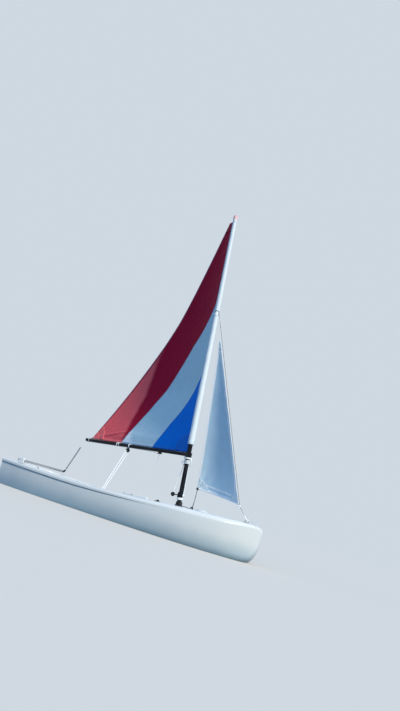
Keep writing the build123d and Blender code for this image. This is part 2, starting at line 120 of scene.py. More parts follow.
@dataclass(frozen=True)
class Frames:
    """The frames that the pieces are drawn in, each a matrix to the row frame."""

    trim: float = 2.405
    water: float = 0.045
    mast_foot: Point = (0.529, 0.0, 0.382)
    rake: float = 3.372
    boom_height: float = 0.538
    swing: float = 26.0
    rise: float = 2.89

    @property
    def deck(self) -> Array:
        """The deck frame."""
        return turned("y", -self.trim) @ moved(0, 0, -self.water)

    @property
    def mast(self) -> Array:
        """The mast frame: z runs up the mast from the deck, and x points forward."""
        return self.deck @ moved(*self.mast_foot) @ turned("y", -self.rake)

    @property
    def boom(self) -> Array:
        """The boom frame: -x runs out along the boom from the mast's axis."""
        return self.mast @ moved(0, 0, self.boom_height) @ turned("z", -self.swing) @ turned("y", self.rise)


# Meshes


def linked(name: str, data: bpy.types.ID) -> Piece:
    """Puts a new object with the given data into the scene.

    Args:
        name: The object's name.
        data: Its mesh, curve, light or camera.

    Returns:
        The object, at the origin.
    """
    thing = bpy.data.objects.new(name, data)
    bpy.context.scene.collection.objects.link(thing)
    return thing


def smoothed(mesh: bpy.types.Mesh, sharp: float) -> None:
    """Shades a mesh smoothly, with an edge where faces meet at more than sharp degrees."""
    mesh.polygons.foreach_set("use_smooth", np.ones(len(mesh.polygons), bool))
    mesh.set_sharp_from_angle(angle=math.radians(sharp))


class Skin:
    """A mesh gathered from grids of points worked out as whole arrays."""

    def __init__(self) -> None:
        """Starts with no points."""
        self.parts: list[tuple[Array, Array, Array, Array]] = []
        self.count = 0

    def grid(self, points: Array, uv: Array | None = None, slot: int | Array = 0,
             keep: bool | Array = True) -> Skin:
        """Adds a grid of points as quads; quad (i, j) joins rows i and i + 1 with columns j and j + 1.

        Args:
            points: Rows by columns by 3.
            uv: Two numbers for each point, or None for zeros.
            slot: The material's index, one for all or one for each quad.
            keep: True for each quad that is kept.

        Returns:
            The skin itself.
        """
        shape = points.shape[:2]
        uv = np.zeros((*shape, 2)) if uv is None else uv
        index = np.arange(shape[0] * shape[1]).reshape(shape) + self.count
        quads = np.stack([index[:-1, :-1], index[:-1, 1:], index[1:, 1:], index[1:, :-1]], axis=-1)
        marks, kept = (np.broadcast_to(values, quads.shape[:2]) for values in (slot, keep))
        self.parts.append((points.reshape(-1, 3), quads[kept], uv.reshape(-1, 2), marks[kept]))
        self.count += index.size
        return self

    def build(self, name: str, materials: list[Material], sharp: float = 40.0, merge: float = 2e-5,
              outward: bool = False) -> Piece:
        """Makes the object, with double points joined and faces of no area dropped.

        Args:
            name: The piece's name.
            materials: Its materials, in the order of the slots.
            sharp: The angle in degrees past which an edge stays sharp.
            merge: Points nearer than this become one.
            outward: Whether the faces are turned outwards afterwards, for a closed shape.

        Returns:
            The object, at the origin.
        """
        points, quads, uvs, slots = (np.concatenate(part) for part in zip(*self.parts))
        mesh = bpy.data.meshes.new(name)
        mesh.vertices.add(len(points))
        mesh.vertices.foreach_set("co", points.astype(np.float32).ravel())
        mesh.loops.add(quads.size)
        mesh.loops.foreach_set("vertex_index", quads.astype(np.int32).ravel())
        mesh.polygons.add(len(quads))
        mesh.polygons.foreach_set("loop_start", np.arange(0, quads.size, 4, dtype=np.int32))
        layer = mesh.uv_layers.new(name="UVMap")
        layer.data.foreach_set("uv", uvs[quads.ravel()].astype(np.float32).ravel())
        mesh.polygons.foreach_set("material_index", slots.astype(np.int32))
        for material in materials:
            mesh.materials.append(material)
        mesh.update(calc_edges=True)
        mesh.validate()
        work = bmesh.new()
        work.from_mesh(mesh)
        bmesh.ops.remove_doubles(work, verts=work.verts, dist=merge)
        bmesh.ops.dissolve_degenerate(work, dist=merge * 0.5, edges=work.edges)
        if outward:
            bmesh.ops.recalc_face_normals(work, faces=work.faces)
        work.to_mesh(mesh)
        work.free()
        mesh.update()
        smoothed(mesh, sharp)
        return linked(name, mesh)


def sewn(name: str, body: str, grid: tuple[Array, Array], finish: Material, thickness: float,
         sharp: float = 40.0, merge: float = 2e-5, keep: bool | Array = True) -> Piece:
    """Makes a piece of cloth, tape or strap, its thickness half to each side, riding on a body.

    Args:
        name: The piece's name.
        body: The body that it rides on.
        grid: Its points and its flat pattern.
        finish: Its material.
        thickness: Its thickness.
        sharp: The angle in degrees past which an edge stays sharp.
        merge: Points nearer than this become one.
        keep: True for each quad that is kept.

    Returns:
        The piece.
    """
    piece = Skin().grid(*grid, keep=keep).build(name, [finish], sharp, merge)
    solid = piece.modifiers.new("thickness", "SOLIDIFY")
    solid.thickness = thickness
    solid.offset = 0.0
    solid.use_even_offset = False
    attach(piece, body)
    return piece


def combined(piece: Piece, other: Piece, way: str) -> None:
    """Joins or cuts a closed piece with another, which is then removed.

    Args:
        piece: The object that stays.
        other: The object that is added or taken away.
        way: "UNION" or "DIFFERENCE".
    """
    cut = piece.modifiers.new("cut", "BOOLEAN")
    cut.operation = way
    cut.solver = "EXACT"
    cut.object = other
    bpy.context.view_layer.update()
    shape = piece.evaluated_get(bpy.context.evaluated_depsgraph_get())
    mesh = bpy.data.meshes.new_from_object(shape)
    piece.modifiers.clear()
    piece.data = mesh
    bpy.data.objects.remove(other)


def catmull_rom(padded: Array, steps: Array) -> Array:
    """Runs a Catmull-Rom curve: each stretch is a cubic whose slope at a point is half the step
    between the points on its two sides.

    Args:
        padded: The points to pass through, with one more before and after them.
        steps: How many points each stretch gives.

    Returns:
        Points along the curve, the last one included.
    """
    span = np.repeat(np.arange(len(steps)), steps)
    first = np.repeat(np.cumsum(steps) - steps, steps)
    t = ((np.arange(len(span)) - first) / steps[span])[:, None]
    a, b, c, d = (padded[span + k] for k in range(4))
    curve = 0.5 * (2 * b + (c - a) * t + (2 * a - 5 * b + 4 * c - d) * t**2 + (3 * b - a - 3 * c + d) * t**3)
    return np.concatenate([curve, padded[-2:-1]])


def smooth_path(points: Array, spacing: float) -> Array:
    """Runs a smooth curve through points.

    Args:
        points: Points to pass through, n by 3.
        spacing: The wanted distance between the results.

    Returns:
        Points along the curve.
    """
    padded = np.concatenate([2 * points[:1] - points[1:2], points, 2 * points[-1:] - points[-2:-1]])
    spans = np.linalg.norm(np.diff(points, axis=0), axis=1)
    return catmull_rom(padded, np.maximum(2, np.ceil(spans / spacing).astype(int)))


def rope(name: str, matrix: Array, points: list | Array, radius: float, finish: Material,
         spacing: float = 0.012) -> Piece:
    """Makes a closed tube along a smooth path: point = path + r (cos a, sin a) in two directions across
    it, each step's side turned as little as may be, and both ends shrunk to their middles.

    Args:
        name: The piece's name.
        matrix: The frame that its points are in.
        points: Points that it passes through.
        radius: Its radius.
        finish: Its material.
        spacing: The distance between its rings.

    Returns:
        The rope.
    """
    path = smooth_path(place(matrix, points), spacing)
    tangent = unit(np.gradient(path, axis=0))
    upright = abs(tangent[0][2]) >= 0.9
    side = np.empty_like(path)
    side[0] = unit(np.cross(tangent[0], (1.0, 0.0, 0.0) if upright else (0.0, 0.0, 1.0)))
    for i in range(1, len(path)):
        side[i] = unit(side[i - 1] - tangent[i] * side[i - 1].dot(tangent[i]))
    up = np.cross(tangent, side)
    angle = circle(10)[None, :, None]
    grid = path[:, None] + radius * (np.cos(angle) * side[:, None] + np.sin(angle) * up[:, None])
    uv = joined(angle[..., 0] * radius, distances(path)[:, None])
    first, last = (np.broadcast_to(grid[k].mean(axis=0), grid[k].shape)[None] for k in (0, -1))
    closed = np.concatenate([first, grid, last]), np.concatenate([uv[:1], uv, uv[-1:]])
    return Skin().grid(*closed).build(name, [finish], sharp=60, outward=True)


# Node trees


def rgba(color: Color, level: float = 1.0) -> tuple[float, float, float, float]:
    """A linear colour, made lighter or darker, with its alpha of 1."""
    return (*(min(1.0, c * level) for c in color), 1.0)


class Graph:
    """A short way to write a node tree."""

    def __init__(self, tree: bpy.types.NodeTree) -> None:
        """Keeps the tree that the nodes go into."""
        self.tree = tree

    @classmethod
    def fresh(cls, owner: Material | bpy.types.World) -> Graph:
        """Turns on the nodes of a material or world and empties them.

        Args:
            owner: The material or world.

        Returns:
            The graph of its empty tree.
        """
        owner.use_nodes = True
        owner.node_tree.nodes.clear()
        return cls(owner.node_tree)

    def node(self, kind: str, inputs: dict | None = None, **settings: object) -> bpy.types.Node:
        """Adds a node.

        Args:
            kind: The node's Blender type, without its first words where it is a shader's.
            inputs: A value or a socket for each input; None leaves one alone.
            settings: The node's own settings.

        Returns:
            The node.
        """
        node = self.tree.nodes.new(kind if kind.startswith("Node") else "ShaderNode" + kind)
        for key, value in settings.items():
            setattr(node, key, value)
        self.fill(node, inputs or {})
        return node

    def fill(self, node: bpy.types.Node, inputs: dict) -> None:
        """Links or sets a node's inputs.

        Args:
            node: The node.
            inputs: A value or a socket for each input; None leaves one alone.
        """
        for key, value in inputs.items():
            if isinstance(value, Socket):
                self.tree.links.new(value, node.inputs[key])
            elif value is not None:
                node.inputs[key].default_value = value

    def math(self, way: str, a: object, b: object = 0.0, clamp: bool = False) -> Socket:
        """Adds a Math node on two values and gives its output."""
        return self.node("Math", {0: a, 1: b}, operation=way, use_clamp=clamp).outputs[0]

    def times(self, a: object, b: object) -> Socket:
        """Multiplies two values."""
        return self.math("MULTIPLY", a, b)

    def less(self, a: object, b: object) -> Socket:
        """Takes b from a."""
        return self.math("SUBTRACT", a, b)

    def fused(self, value: object, times: float, plus: float) -> Socket:
        """Multiplies a value and adds to it."""
        return self.node("Math", {0: value, 1: times, 2: plus}, operation="MULTIPLY_ADD").outputs[0]

    def step(self, value: object, low: float, high: float) -> Socket:
        """Rises smoothly from 0 to 1 as the value goes from low to high."""
        sockets = {"Value": value, "From Min": low, "From Max": high}
        return self.node("MapRange", sockets, interpolation_type="SMOOTHSTEP").outputs[0]

    def mix(self, factor: object, a: object, b: object) -> Socket:
        """Mixes two colours by a factor."""
        return self.node("Mix", {0: factor, 6: a, 7: b}, data_type="RGBA").outputs[2]

    def noise(self, vector: object, scale: object, detail: float = 3.0, bend: float | None = None) -> Socket:
        """Adds a noise texture and gives its value from 0 to 1."""
        sockets = {"Vector": vector, "Scale": scale, "Detail": detail, "Distortion": bend}
        return self.node("TexNoise", sockets).outputs[0]

    def scaled(self, vector: object, scale: Color, turn: Point | None = None) -> Socket:
        """Stretches a vector along its axes, and may turn it by angles in radians."""
        return self.node("Mapping", {"Vector": vector, "Rotation": turn, "Scale": scale}).outputs[0]

    def split(self, vector: object) -> tuple[Socket, ...]:
        """Gives a vector's three numbers."""
        return tuple(self.node("SeparateXYZ", {0: vector}).outputs)


class Effect(Enum):
    """The effects that several finishes share, each a node group with Height and Shade outputs."""

    WEAVE = "plain_weave"
    CREASES = "fine_creases"
    STITCHES = "zigzag_stitches"
    MOULDING = "moulded_skin"
    WEAR = "scuffs_and_salt"
    BRAID = "braided_cover"
    TREAD = "diamond_tread"

    def group(self) -> bpy.types.NodeTree:
        """Builds the group the first time and gives it.

        Returns:
            The node group, with inputs Vector and Pitch and outputs Height and Shade.
        """
        found = bpy.data.node_groups.get(self.value)
        if found:
            return found
        tree = bpy.data.node_groups.new(self.value, "ShaderNodeTree")
        for name, way, kind in (("Vector", "INPUT", "Vector"), ("Pitch", "INPUT", "Float"),
                                ("Height", "OUTPUT", "Float"), ("Shade", "OUTPUT", "Float")):
            tree.interface.new_socket(name=name, in_out=way, socket_type="NodeSocket" + kind)
        g = Graph(tree)
        vector, pitch = g.node("NodeGroupInput").outputs[:2]
        height, shade = getattr(self, "_" + self.name.lower())(g, vector, pitch)
        g.node("NodeGroupOutput", {0: height, 1: shade})
        return tree

    def _waves(self, g: Graph, number: object, pitch: object) -> Socket:
        """A sine wave of one length along a number, from -1 to 1."""
        return g.math("SINE", g.times(g.math("DIVIDE", number, pitch), TURN))

    def _crossed(self, g: Graph, vector: Socket, pitch: Socket, slant: float) -> tuple[Socket, Socket]:
        """Two sine waves that lean to either side.

        Args:
            g: The group's graph.
            vector: Where they are read.
            pitch: Their length.
            slant: How far they lean.

        Returns:
            Both waves.
        """
        x, y, _ = g.split(vector)
        lean = g.times(y, slant)
        return self._waves(g, g.math("ADD", x, lean), pitch), self._waves(g, g.less(x, lean), pitch)

    def _weave(self, g: Graph, vector: Socket, pitch: Socket) -> tuple[Socket, Socket]:
        """Threads over and under: the height is the product of two sine waves; shade drifts slowly.

        Args:
            g: The group's graph.
            vector: Where the effect is read.
            pitch: Its size in metres.

        Returns:
            Its height and shade.
        """
        x, y, _ = g.split(vector)
        product = g.times(self._waves(g, x, pitch), self._waves(g, y, pitch))
        return g.fused(product, 0.5, 0.5), g.noise(vector, 9.0, 5.0)

    def _creases(self, g: Graph, vector: Socket, pitch: Socket) -> tuple[Socket, Socket]:
        """Soft crinkles: noise stretched two ways; the shade marks their ridges, which the sailcloth paints
        paler as a painted highlight.

        Args:
            g: The group's graph.
            vector: Where the effect is read.
            pitch: Its size in metres.

        Returns:
            Its height and shade.
        """
        scale = g.math("DIVIDE", 1.0, pitch)
        bent = g.noise(vector, scale, 4.0, 0.8)
        fine = g.noise(g.scaled(vector, (1.0, 0.35, 1.0)), g.times(scale, 2.7))
        height = g.math("ADD", g.times(bent, 0.7), g.times(fine, 0.3))
        return height, g.step(height, 0.42, 0.62)

    def _stitches(self, g: Graph, vector: Socket, pitch: Socket) -> tuple[Socket, Socket]:
        """A zigzag thread: y follows a triangle wave of x, and the thread is the band about it.

        Args:
            g: The group's graph.
            vector: Where the effect is read.
            pitch: Its size in metres.

        Returns:
            Its height and shade.
        """
        x, y, _ = g.split(vector)
        line = g.less(g.math("PINGPONG", x, g.times(pitch, 0.5)), g.times(pitch, 0.25))
        thread = g.less(1.0, g.step(g.math("ABSOLUTE", g.less(y, line)), 0.0004, 0.0010))
        return thread, thread

    def _moulding(self, g: Graph, vector: Socket, pitch: Socket) -> tuple[Socket, Socket]:
        """The faint ripple of a moulded skin, and a slow drift of tone."""
        return g.noise(vector, g.math("DIVIDE", 1.0, pitch), 4.0), g.noise(vector, 2.3, 5.0)

    def _wear(self, g: Graph, vector: Socket, pitch: Socket) -> tuple[Socket, Socket]:
        """Thin scratches where stretched noise passes a level, and patches of dried salt.

        Args:
            g: The group's graph.
            vector: Where the effect is read.
            pitch: Its size in metres.

        Returns:
            Its height and shade.
        """
        lines = g.noise(g.scaled(vector, (0.25, 1.0, 5.0)), g.math("DIVIDE", 1.0, pitch), 6.0)
        scratch = g.step(lines, 0.64, 0.68)
        salt = g.step(g.noise(vector, g.math("DIVIDE", 0.35, pitch), 8.0), 0.52, 0.75)
        return scratch, g.math("MAXIMUM", scratch, g.times(salt, 0.6), clamp=True)

    def _braid(self, g: Graph, vector: Socket, pitch: Socket) -> tuple[Socket, Socket]:
        """Two families of strands that cross: the height is the larger of two slanted sine waves, and the
        shade, low between the strands, is painted shade for the rope's colour.
        """
        height = g.fused(g.math("MAXIMUM", *self._crossed(g, vector, pitch, 0.7)), 0.5, 0.5)
        return height, g.step(height, -0.2, 0.5)

    def _tread(self, g: Graph, vector: Socket, pitch: Socket) -> tuple[Socket, Socket]:
        """Raised diamonds: the product of two slanted sine waves, cut off flat on top; the shade marks the
        tops, which the gelcoat paints lighter as a painted highlight.
        """
        top = g.step(g.times(*self._crossed(g, vector, pitch, 1.0)), 0.05, 0.4)
        return top, top


class Shader(Graph):
    """One material: its Principled shader, its coordinates, its colour and its layers of bump."""

    def __init__(self, name: str, roughness: float, specular: float, metallic: float = 0.0) -> None:
        """Makes the material with a plain shader.

        Args:
            name: The material's name.
            roughness: The shader's roughness before any layer.
            specular: The shader's specular level.
            metallic: 0 for a dielectric and 1 for a metal.
        """
        self.material = bpy.data.materials.new(name)
        super().__init__(Graph.fresh(self.material).tree)
        values = {"Roughness": roughness, "Metallic": metallic, "Specular IOR Level": specular}
        self.surface = self.node("BsdfPrincipled", values)
        self.node("OutputMaterial", {0: self.surface.outputs[0]})
        outputs = self.node("TexCoord").outputs
        self.body = outputs["Object"]
        self.cloth = outputs["UV"]
        self.tone: Socket | None = None
        self.normal: Socket | None = None

    def effect(self, kind: Effect, vector: Socket, pitch: float) -> tuple[Socket, Socket]:
        """Places a shared effect in this material and gives its height and shade."""
        return tuple(self.node("Group", {0: vector, 1: pitch}, node_tree=kind.group()).outputs)

    def base(self, mask: Socket, color: Color, low: float, high: float) -> None:
        """Starts the colour, between a darker and a lighter level by a mask."""
        self.tone = self.mix(mask, rgba(color, low), rgba(color, high))

    def over(self, mask: Socket, amount: float, color: Color, level: float = 1.0) -> None:
        """Lays another colour over it, by a mask times an amount."""
        self.tone = self.mix(mask if amount == 1 else self.times(mask, amount), self.tone, rgba(color, level))

    def raise_by(self, height: Socket, strength: float, depth: float) -> None:
        """Adds a layer of bump, with its depth in metres, over those before it."""
        sockets = {"Height": height, "Strength": strength, "Distance": depth, "Normal": self.normal}
        self.normal = self.node("Bump", sockets).outputs[0]

    def finish(self, roughness: Socket | None = None) -> Material:
        """Puts the colour, the bump and any varying roughness into the shader."""
        self.fill(self.surface, {"Base Color": self.tone, "Roughness": roughness, "Normal": self.normal})
        return self.material


# Finishes


@dataclass(frozen=True)
class Gelcoat:
    """Glossy moulded skin: a faint ripple, slow drift of tone, scuffs, a painted highlight on its tread's
    raised tops, and near the water a bluish band of some grime and mostly painted shade and painted
    reflection of the water.
    """

    name: str
    color: Color
    roughness: float = 0.3
    grime_and_shade: float = 0.0
    tread: bool = False
    scuffed: Color = (0.52, 0.54, 0.54)
    grime_and_shade_tone: Color = (0.19, 0.33, 0.41)

    def material(self) -> Material:
        """Builds the material.

        Returns:
            The material.
        """
        s = Shader(self.name, self.roughness, 0.22)
        ripples, drift = s.effect(Effect.MOULDING, s.body, 0.06)
        scratches, wear = s.effect(Effect.WEAR, s.body, 0.05)
        s.base(drift, self.color, 0.95, 1.03)
        s.over(wear, 0.16, self.scuffed)
        # painted shade and painted reflection of the water, with some grime: a bluish band from the waterline
        # up to about 0.2 m
        if self.grime_and_shade:
            height = s.less(s.split(s.body)[2], s.fused(s.noise(s.body, 5.0), 0.05, 0.0))
            s.over(s.less(1.0, s.step(height, -0.05, 0.20)), self.grime_and_shade, self.grime_and_shade_tone)
        if self.tread:
            raised, top = s.effect(Effect.TREAD, s.body, 0.016)
            # painted highlight: the tread's raised tops a little lighter
            s.over(top, 0.25, self.color, 1.12)
            s.raise_by(raised, 0.9, 0.0012)
        s.raise_by(ripples, 0.25, 0.0012)
        s.raise_by(scratches, -0.3, 0.0003)
        return s.finish(s.fused(wear, 0.25, self.roughness))


@dataclass(frozen=True)
class Sailcloth:
    """Woven sailcloth: fine weave, soft crinkles with a painted highlight on their ridges, a drift of tone
    along the threads, and where painted_sunlight is given, painted sunlight: a lit copy of the cloth laid
    past a line."""

    name: str
    color: Color
    # pale: the colour of the painted highlight on the crinkles' ridges
    pale: Color
    crinkle: float = 0.5
    roughness: float = 0.5
    painted_sunlight: Color | None = None
    sunlit_from: tuple[float, float] = (0.0, 0.0)
    fade_to: tuple[float, float] = (0.0, 1.0)

    def material(self) -> Material:
        """Builds the material.

        Returns:
            The material.
        """
        s = Shader(self.name, self.roughness, 0.04)
        threads, drift = s.effect(Effect.WEAVE, s.cloth, 0.0011)
        creases, ridges = s.effect(Effect.CREASES, s.cloth, 0.22)
        crinkles, _ = s.effect(Effect.CREASES, s.cloth, 0.035)
        s.base(drift, self.color, 0.92, 1.08)
        # painted highlight: the crinkles' ridges paler
        s.over(ridges, 0.12, self.pale)
        # painted sunlight: a lit copy of the cloth's colour on the aft side of the line
        if self.painted_sunlight:
            s.over(self.beyond(s), 1, self.painted_sunlight)
        s.raise_by(creases, self.crinkle, 0.012)
        s.raise_by(crinkles, self.crinkle * 0.6, 0.0016)
        s.raise_by(threads, 0.35, 0.0002)
        return s.finish(s.fused(ridges, 0.12, self.roughness))

    def beyond(self, s: Shader) -> Socket:
        """Gives 1 on the aft side of the line between the two points of the flat pattern, softly: the mask of
        the painted sunlight.

        Args:
            s: The material's shader.

        Returns:
            The mask.
        """
        x0, y0 = self.sunlit_from
        dx, dy = unit(np.array(self.fade_to) - self.sunlit_from)
        x, y, _ = s.split(s.cloth)
        gap = s.math("ADD", s.times(s.less(x, x0), dy), s.times(s.less(y, y0), -dx))
        uneven = s.fused(s.noise(s.cloth, 4.0), 0.10, -0.05)
        return s.step(s.math("ADD", gap, uneven), -0.035, 0.05)


@dataclass(frozen=True)
class Tape:
    """A sewn tape or patch: weave, with a zigzag row of thread along its middle."""

    name: str
    color: Color
    thread: Color
    pitch: float = 0.008

    def material(self) -> Material:
        """Builds the material.

        Returns:
            The material.
        """
        s = Shader(self.name, 0.6, 0.12)
        threads, drift = s.effect(Effect.WEAVE, s.cloth, 0.0013)
        stitches, seen = s.effect(Effect.STITCHES, s.cloth, self.pitch)
        s.base(drift, self.color, 0.93, 1.06)
        s.over(seen, 1, self.thread)
        s.raise_by(threads, 0.4, 0.0002)
        s.raise_by(stitches, 0.8, 0.0006)
        return s.finish()


@dataclass(frozen=True)
class Spar:
    """Black coated tube: satin, with drawn lines along it and a few bright scuffs."""

    name: str
    color: Color
    axis: Point = (0.0, -5.78, 0.0)

    def material(self) -> Material:
        """Builds the material.

        Returns:
            The material.
        """
        s = Shader(self.name, 0.36, 0.10)
        along = s.scaled(s.body, (1, 1, 0.02), tuple(math.radians(a) for a in self.axis))
        _, wear = s.effect(Effect.WEAR, s.body, 0.03)
        s.base(s.noise(s.body, 14.0), self.color, 0.8, 1.4)
        s.over(wear, 0.05, (0.30, 0.31, 0.33))
        s.raise_by(s.noise(along, 900.0, 2.0), 0.15, 0.0003)
        return s.finish(s.fused(wear, 0.22, 0.34))


@dataclass(frozen=True)
class Plastic:
    """Moulded plastic: fine spark grain and rubbed lighter patches."""

    name: str
    color: Color
    roughness: float = 0.5
    rubbed: float = 0.2

    def material(self) -> Material:
        """Builds the material.

        Returns:
            The material.
        """
        s = Shader(self.name, self.roughness, 0.25)
        grain, drift = s.effect(Effect.MOULDING, s.body, 0.0012)
        _, wear = s.effect(Effect.WEAR, s.body, 0.02)
        s.base(drift, self.color, 0.85, 1.15)
        s.over(wear, self.rubbed, tuple(0.5 * c + 0.22 for c in self.color))
        s.raise_by(grain, 0.3, 0.0003)
        return s.finish()


@dataclass(frozen=True)
class Metal:
    """Brushed or anodised metal: fine lines along one axis and dull spots."""

    name: str
    color: Color
    roughness: float = 0.28

    def material(self) -> Material:
        """Builds the material.

        Returns:
            The material.
        """
        s = Shader(self.name, self.roughness, 0.5, 1.0)
        brushed = s.noise(s.scaled(s.body, (0.05, 1.0, 1.0)), 1400.0, 2.0)
        _, wear = s.effect(Effect.WEAR, s.body, 0.02)
        s.base(s.noise(s.body, 30.0), self.color, 0.88, 1.06)
        s.over(wear, 0.2, (0.42, 0.42, 0.41))
        s.raise_by(brushed, 0.12, 0.0002)
        return s.finish(s.fused(brushed, 0.2, self.roughness - 0.08))


@dataclass(frozen=True)
class Rope:
    """A braided cover, with a fleck of another colour on some strands, and painted shade between the strands.
    """

    name: str
    color: Color
    fleck: Color
    pitch: float = 0.003
    pattern: Color = (1.0, 1.0, 1.0)

    def material(self) -> Material:
        """Builds the material; pattern takes a spline's own coordinates to metres.

        Returns:
            The material.
        """
        s = Shader(self.name, 0.75, 0.25)
        cover = s.scaled(s.cloth, self.pattern)
        strands, shade = s.effect(Effect.BRAID, cover, self.pitch)
        # painted shade: darker between the braid's strands, lighter on them
        s.base(shade, self.color, 0.72, 1.05)
        s.over(s.step(s.noise(s.scaled(cover, (300.0, 60.0, 1.0)), 1.0), 0.60, 0.66), 0.7, self.fleck)
        s.raise_by(strands, 0.8, self.pitch * 0.25)
        return s.finish()


@dataclass(frozen=True)
class Webbing:
    """Flat woven strap: ribs across it and a zigzag stitch along its middle."""

    name: str
    color: Color

    def material(self) -> Material:
        """Builds the material.

        Returns:
            The material.
        """
        s = Shader(self.name, 0.8, 0.2)
        ribs, drift = s.effect(Effect.WEAVE, s.cloth, 0.003)
        _, seen = s.effect(Effect.STITCHES, s.cloth, 0.009)
        s.base(drift, self.color, 0.8, 1.3)
        s.over(seen, 0.5, (0.25, 0.25, 0.26))
        s.raise_by(ribs, 0.9, 0.0006)
        return s.finish()


# Outlines


def fillet_arc(corner: Array, before: Array, after: Array, radius: Array | float, steps: int) -> Array:
    """Rounds corners by the circle that touches both of a corner's sides.

    Args:
        corner: Corners, n by 2.
        before: A point on the side that leads to each corner.
        after: A point on the side that leaves it.
        radius: The radius for each corner.
        steps: Points on each arc.

    Returns:
        The arcs, n by steps by 2.
    """
    back, ahead = unit(before - corner), unit(after - corner)
    half = np.arccos(np.clip((back * ahead).sum(-1), -1, 1)) / 2
    radius = np.broadcast_to(radius, half.shape)
    centre = corner + unit(back + ahead) * (radius / np.sin(half))[..., None]
    start, end = (corner + way * (radius / np.tan(half))[..., None] - centre for way in (back, ahead))
    sweep = (math.pi - 2 * half)[..., None, None]
    t = np.linspace(0.0, 1.0, steps)[:, None]
    lead, trail = np.sin((1 - t) * sweep) * start[..., None, :], np.sin(t * sweep) * end[..., None, :]
    return centre[..., None, :] + (lead + trail) / np.sin(sweep)


def rounded(corners: Array, radius: float, steps: int = 8) -> Array:
    """Rounds every corner of a closed outline; the last point isn't the first again."""
    ring = fillet_arc(corners, np.roll(corners, 1, axis=0), np.roll(corners, -1, axis=0), radius, steps)
    return ring.reshape(-1, 2)


def prism(outline: Array, low: float, high: float, matrix: Array, finish: Material,
          edge: float = 0.0) -> Piece:
    """Stands an outline up between two heights as a closed shape, with its top edge rounded.

    Args:
        outline: The outline's points, n by 2.
        low: The height of its foot.
        high: The height of its top.
        matrix: The frame that it is drawn in.
        finish: Its material.
        edge: The radius of its top edge.

    Returns:
        The object.
    """
    loop = np.concatenate([outline, outline[:1]])
    middle = loop.mean(axis=0)
    angle = np.linspace(0.0, QUARTER, 6 if edge else 1)
    inset = np.concatenate([[0.0], edge * (1 - np.cos(angle)), [0.0]])
    height = np.concatenate([[low], high - edge + edge * np.sin(angle)])
    away = loop - middle
    reach = np.linalg.norm(away, axis=1, keepdims=True)
    rings = [joined(*(middle + away * (1 - i / reach)).T, z) for i, z in zip(inset, height)]
    ends = [np.tile([*middle, z], (len(loop), 1)) for z in (low, high)]
    grid = np.stack([ends[0], *rings, ends[1]])
    return Skin().grid(place(matrix, grid)).build("cutter", [finish], outward=True)


# Hull


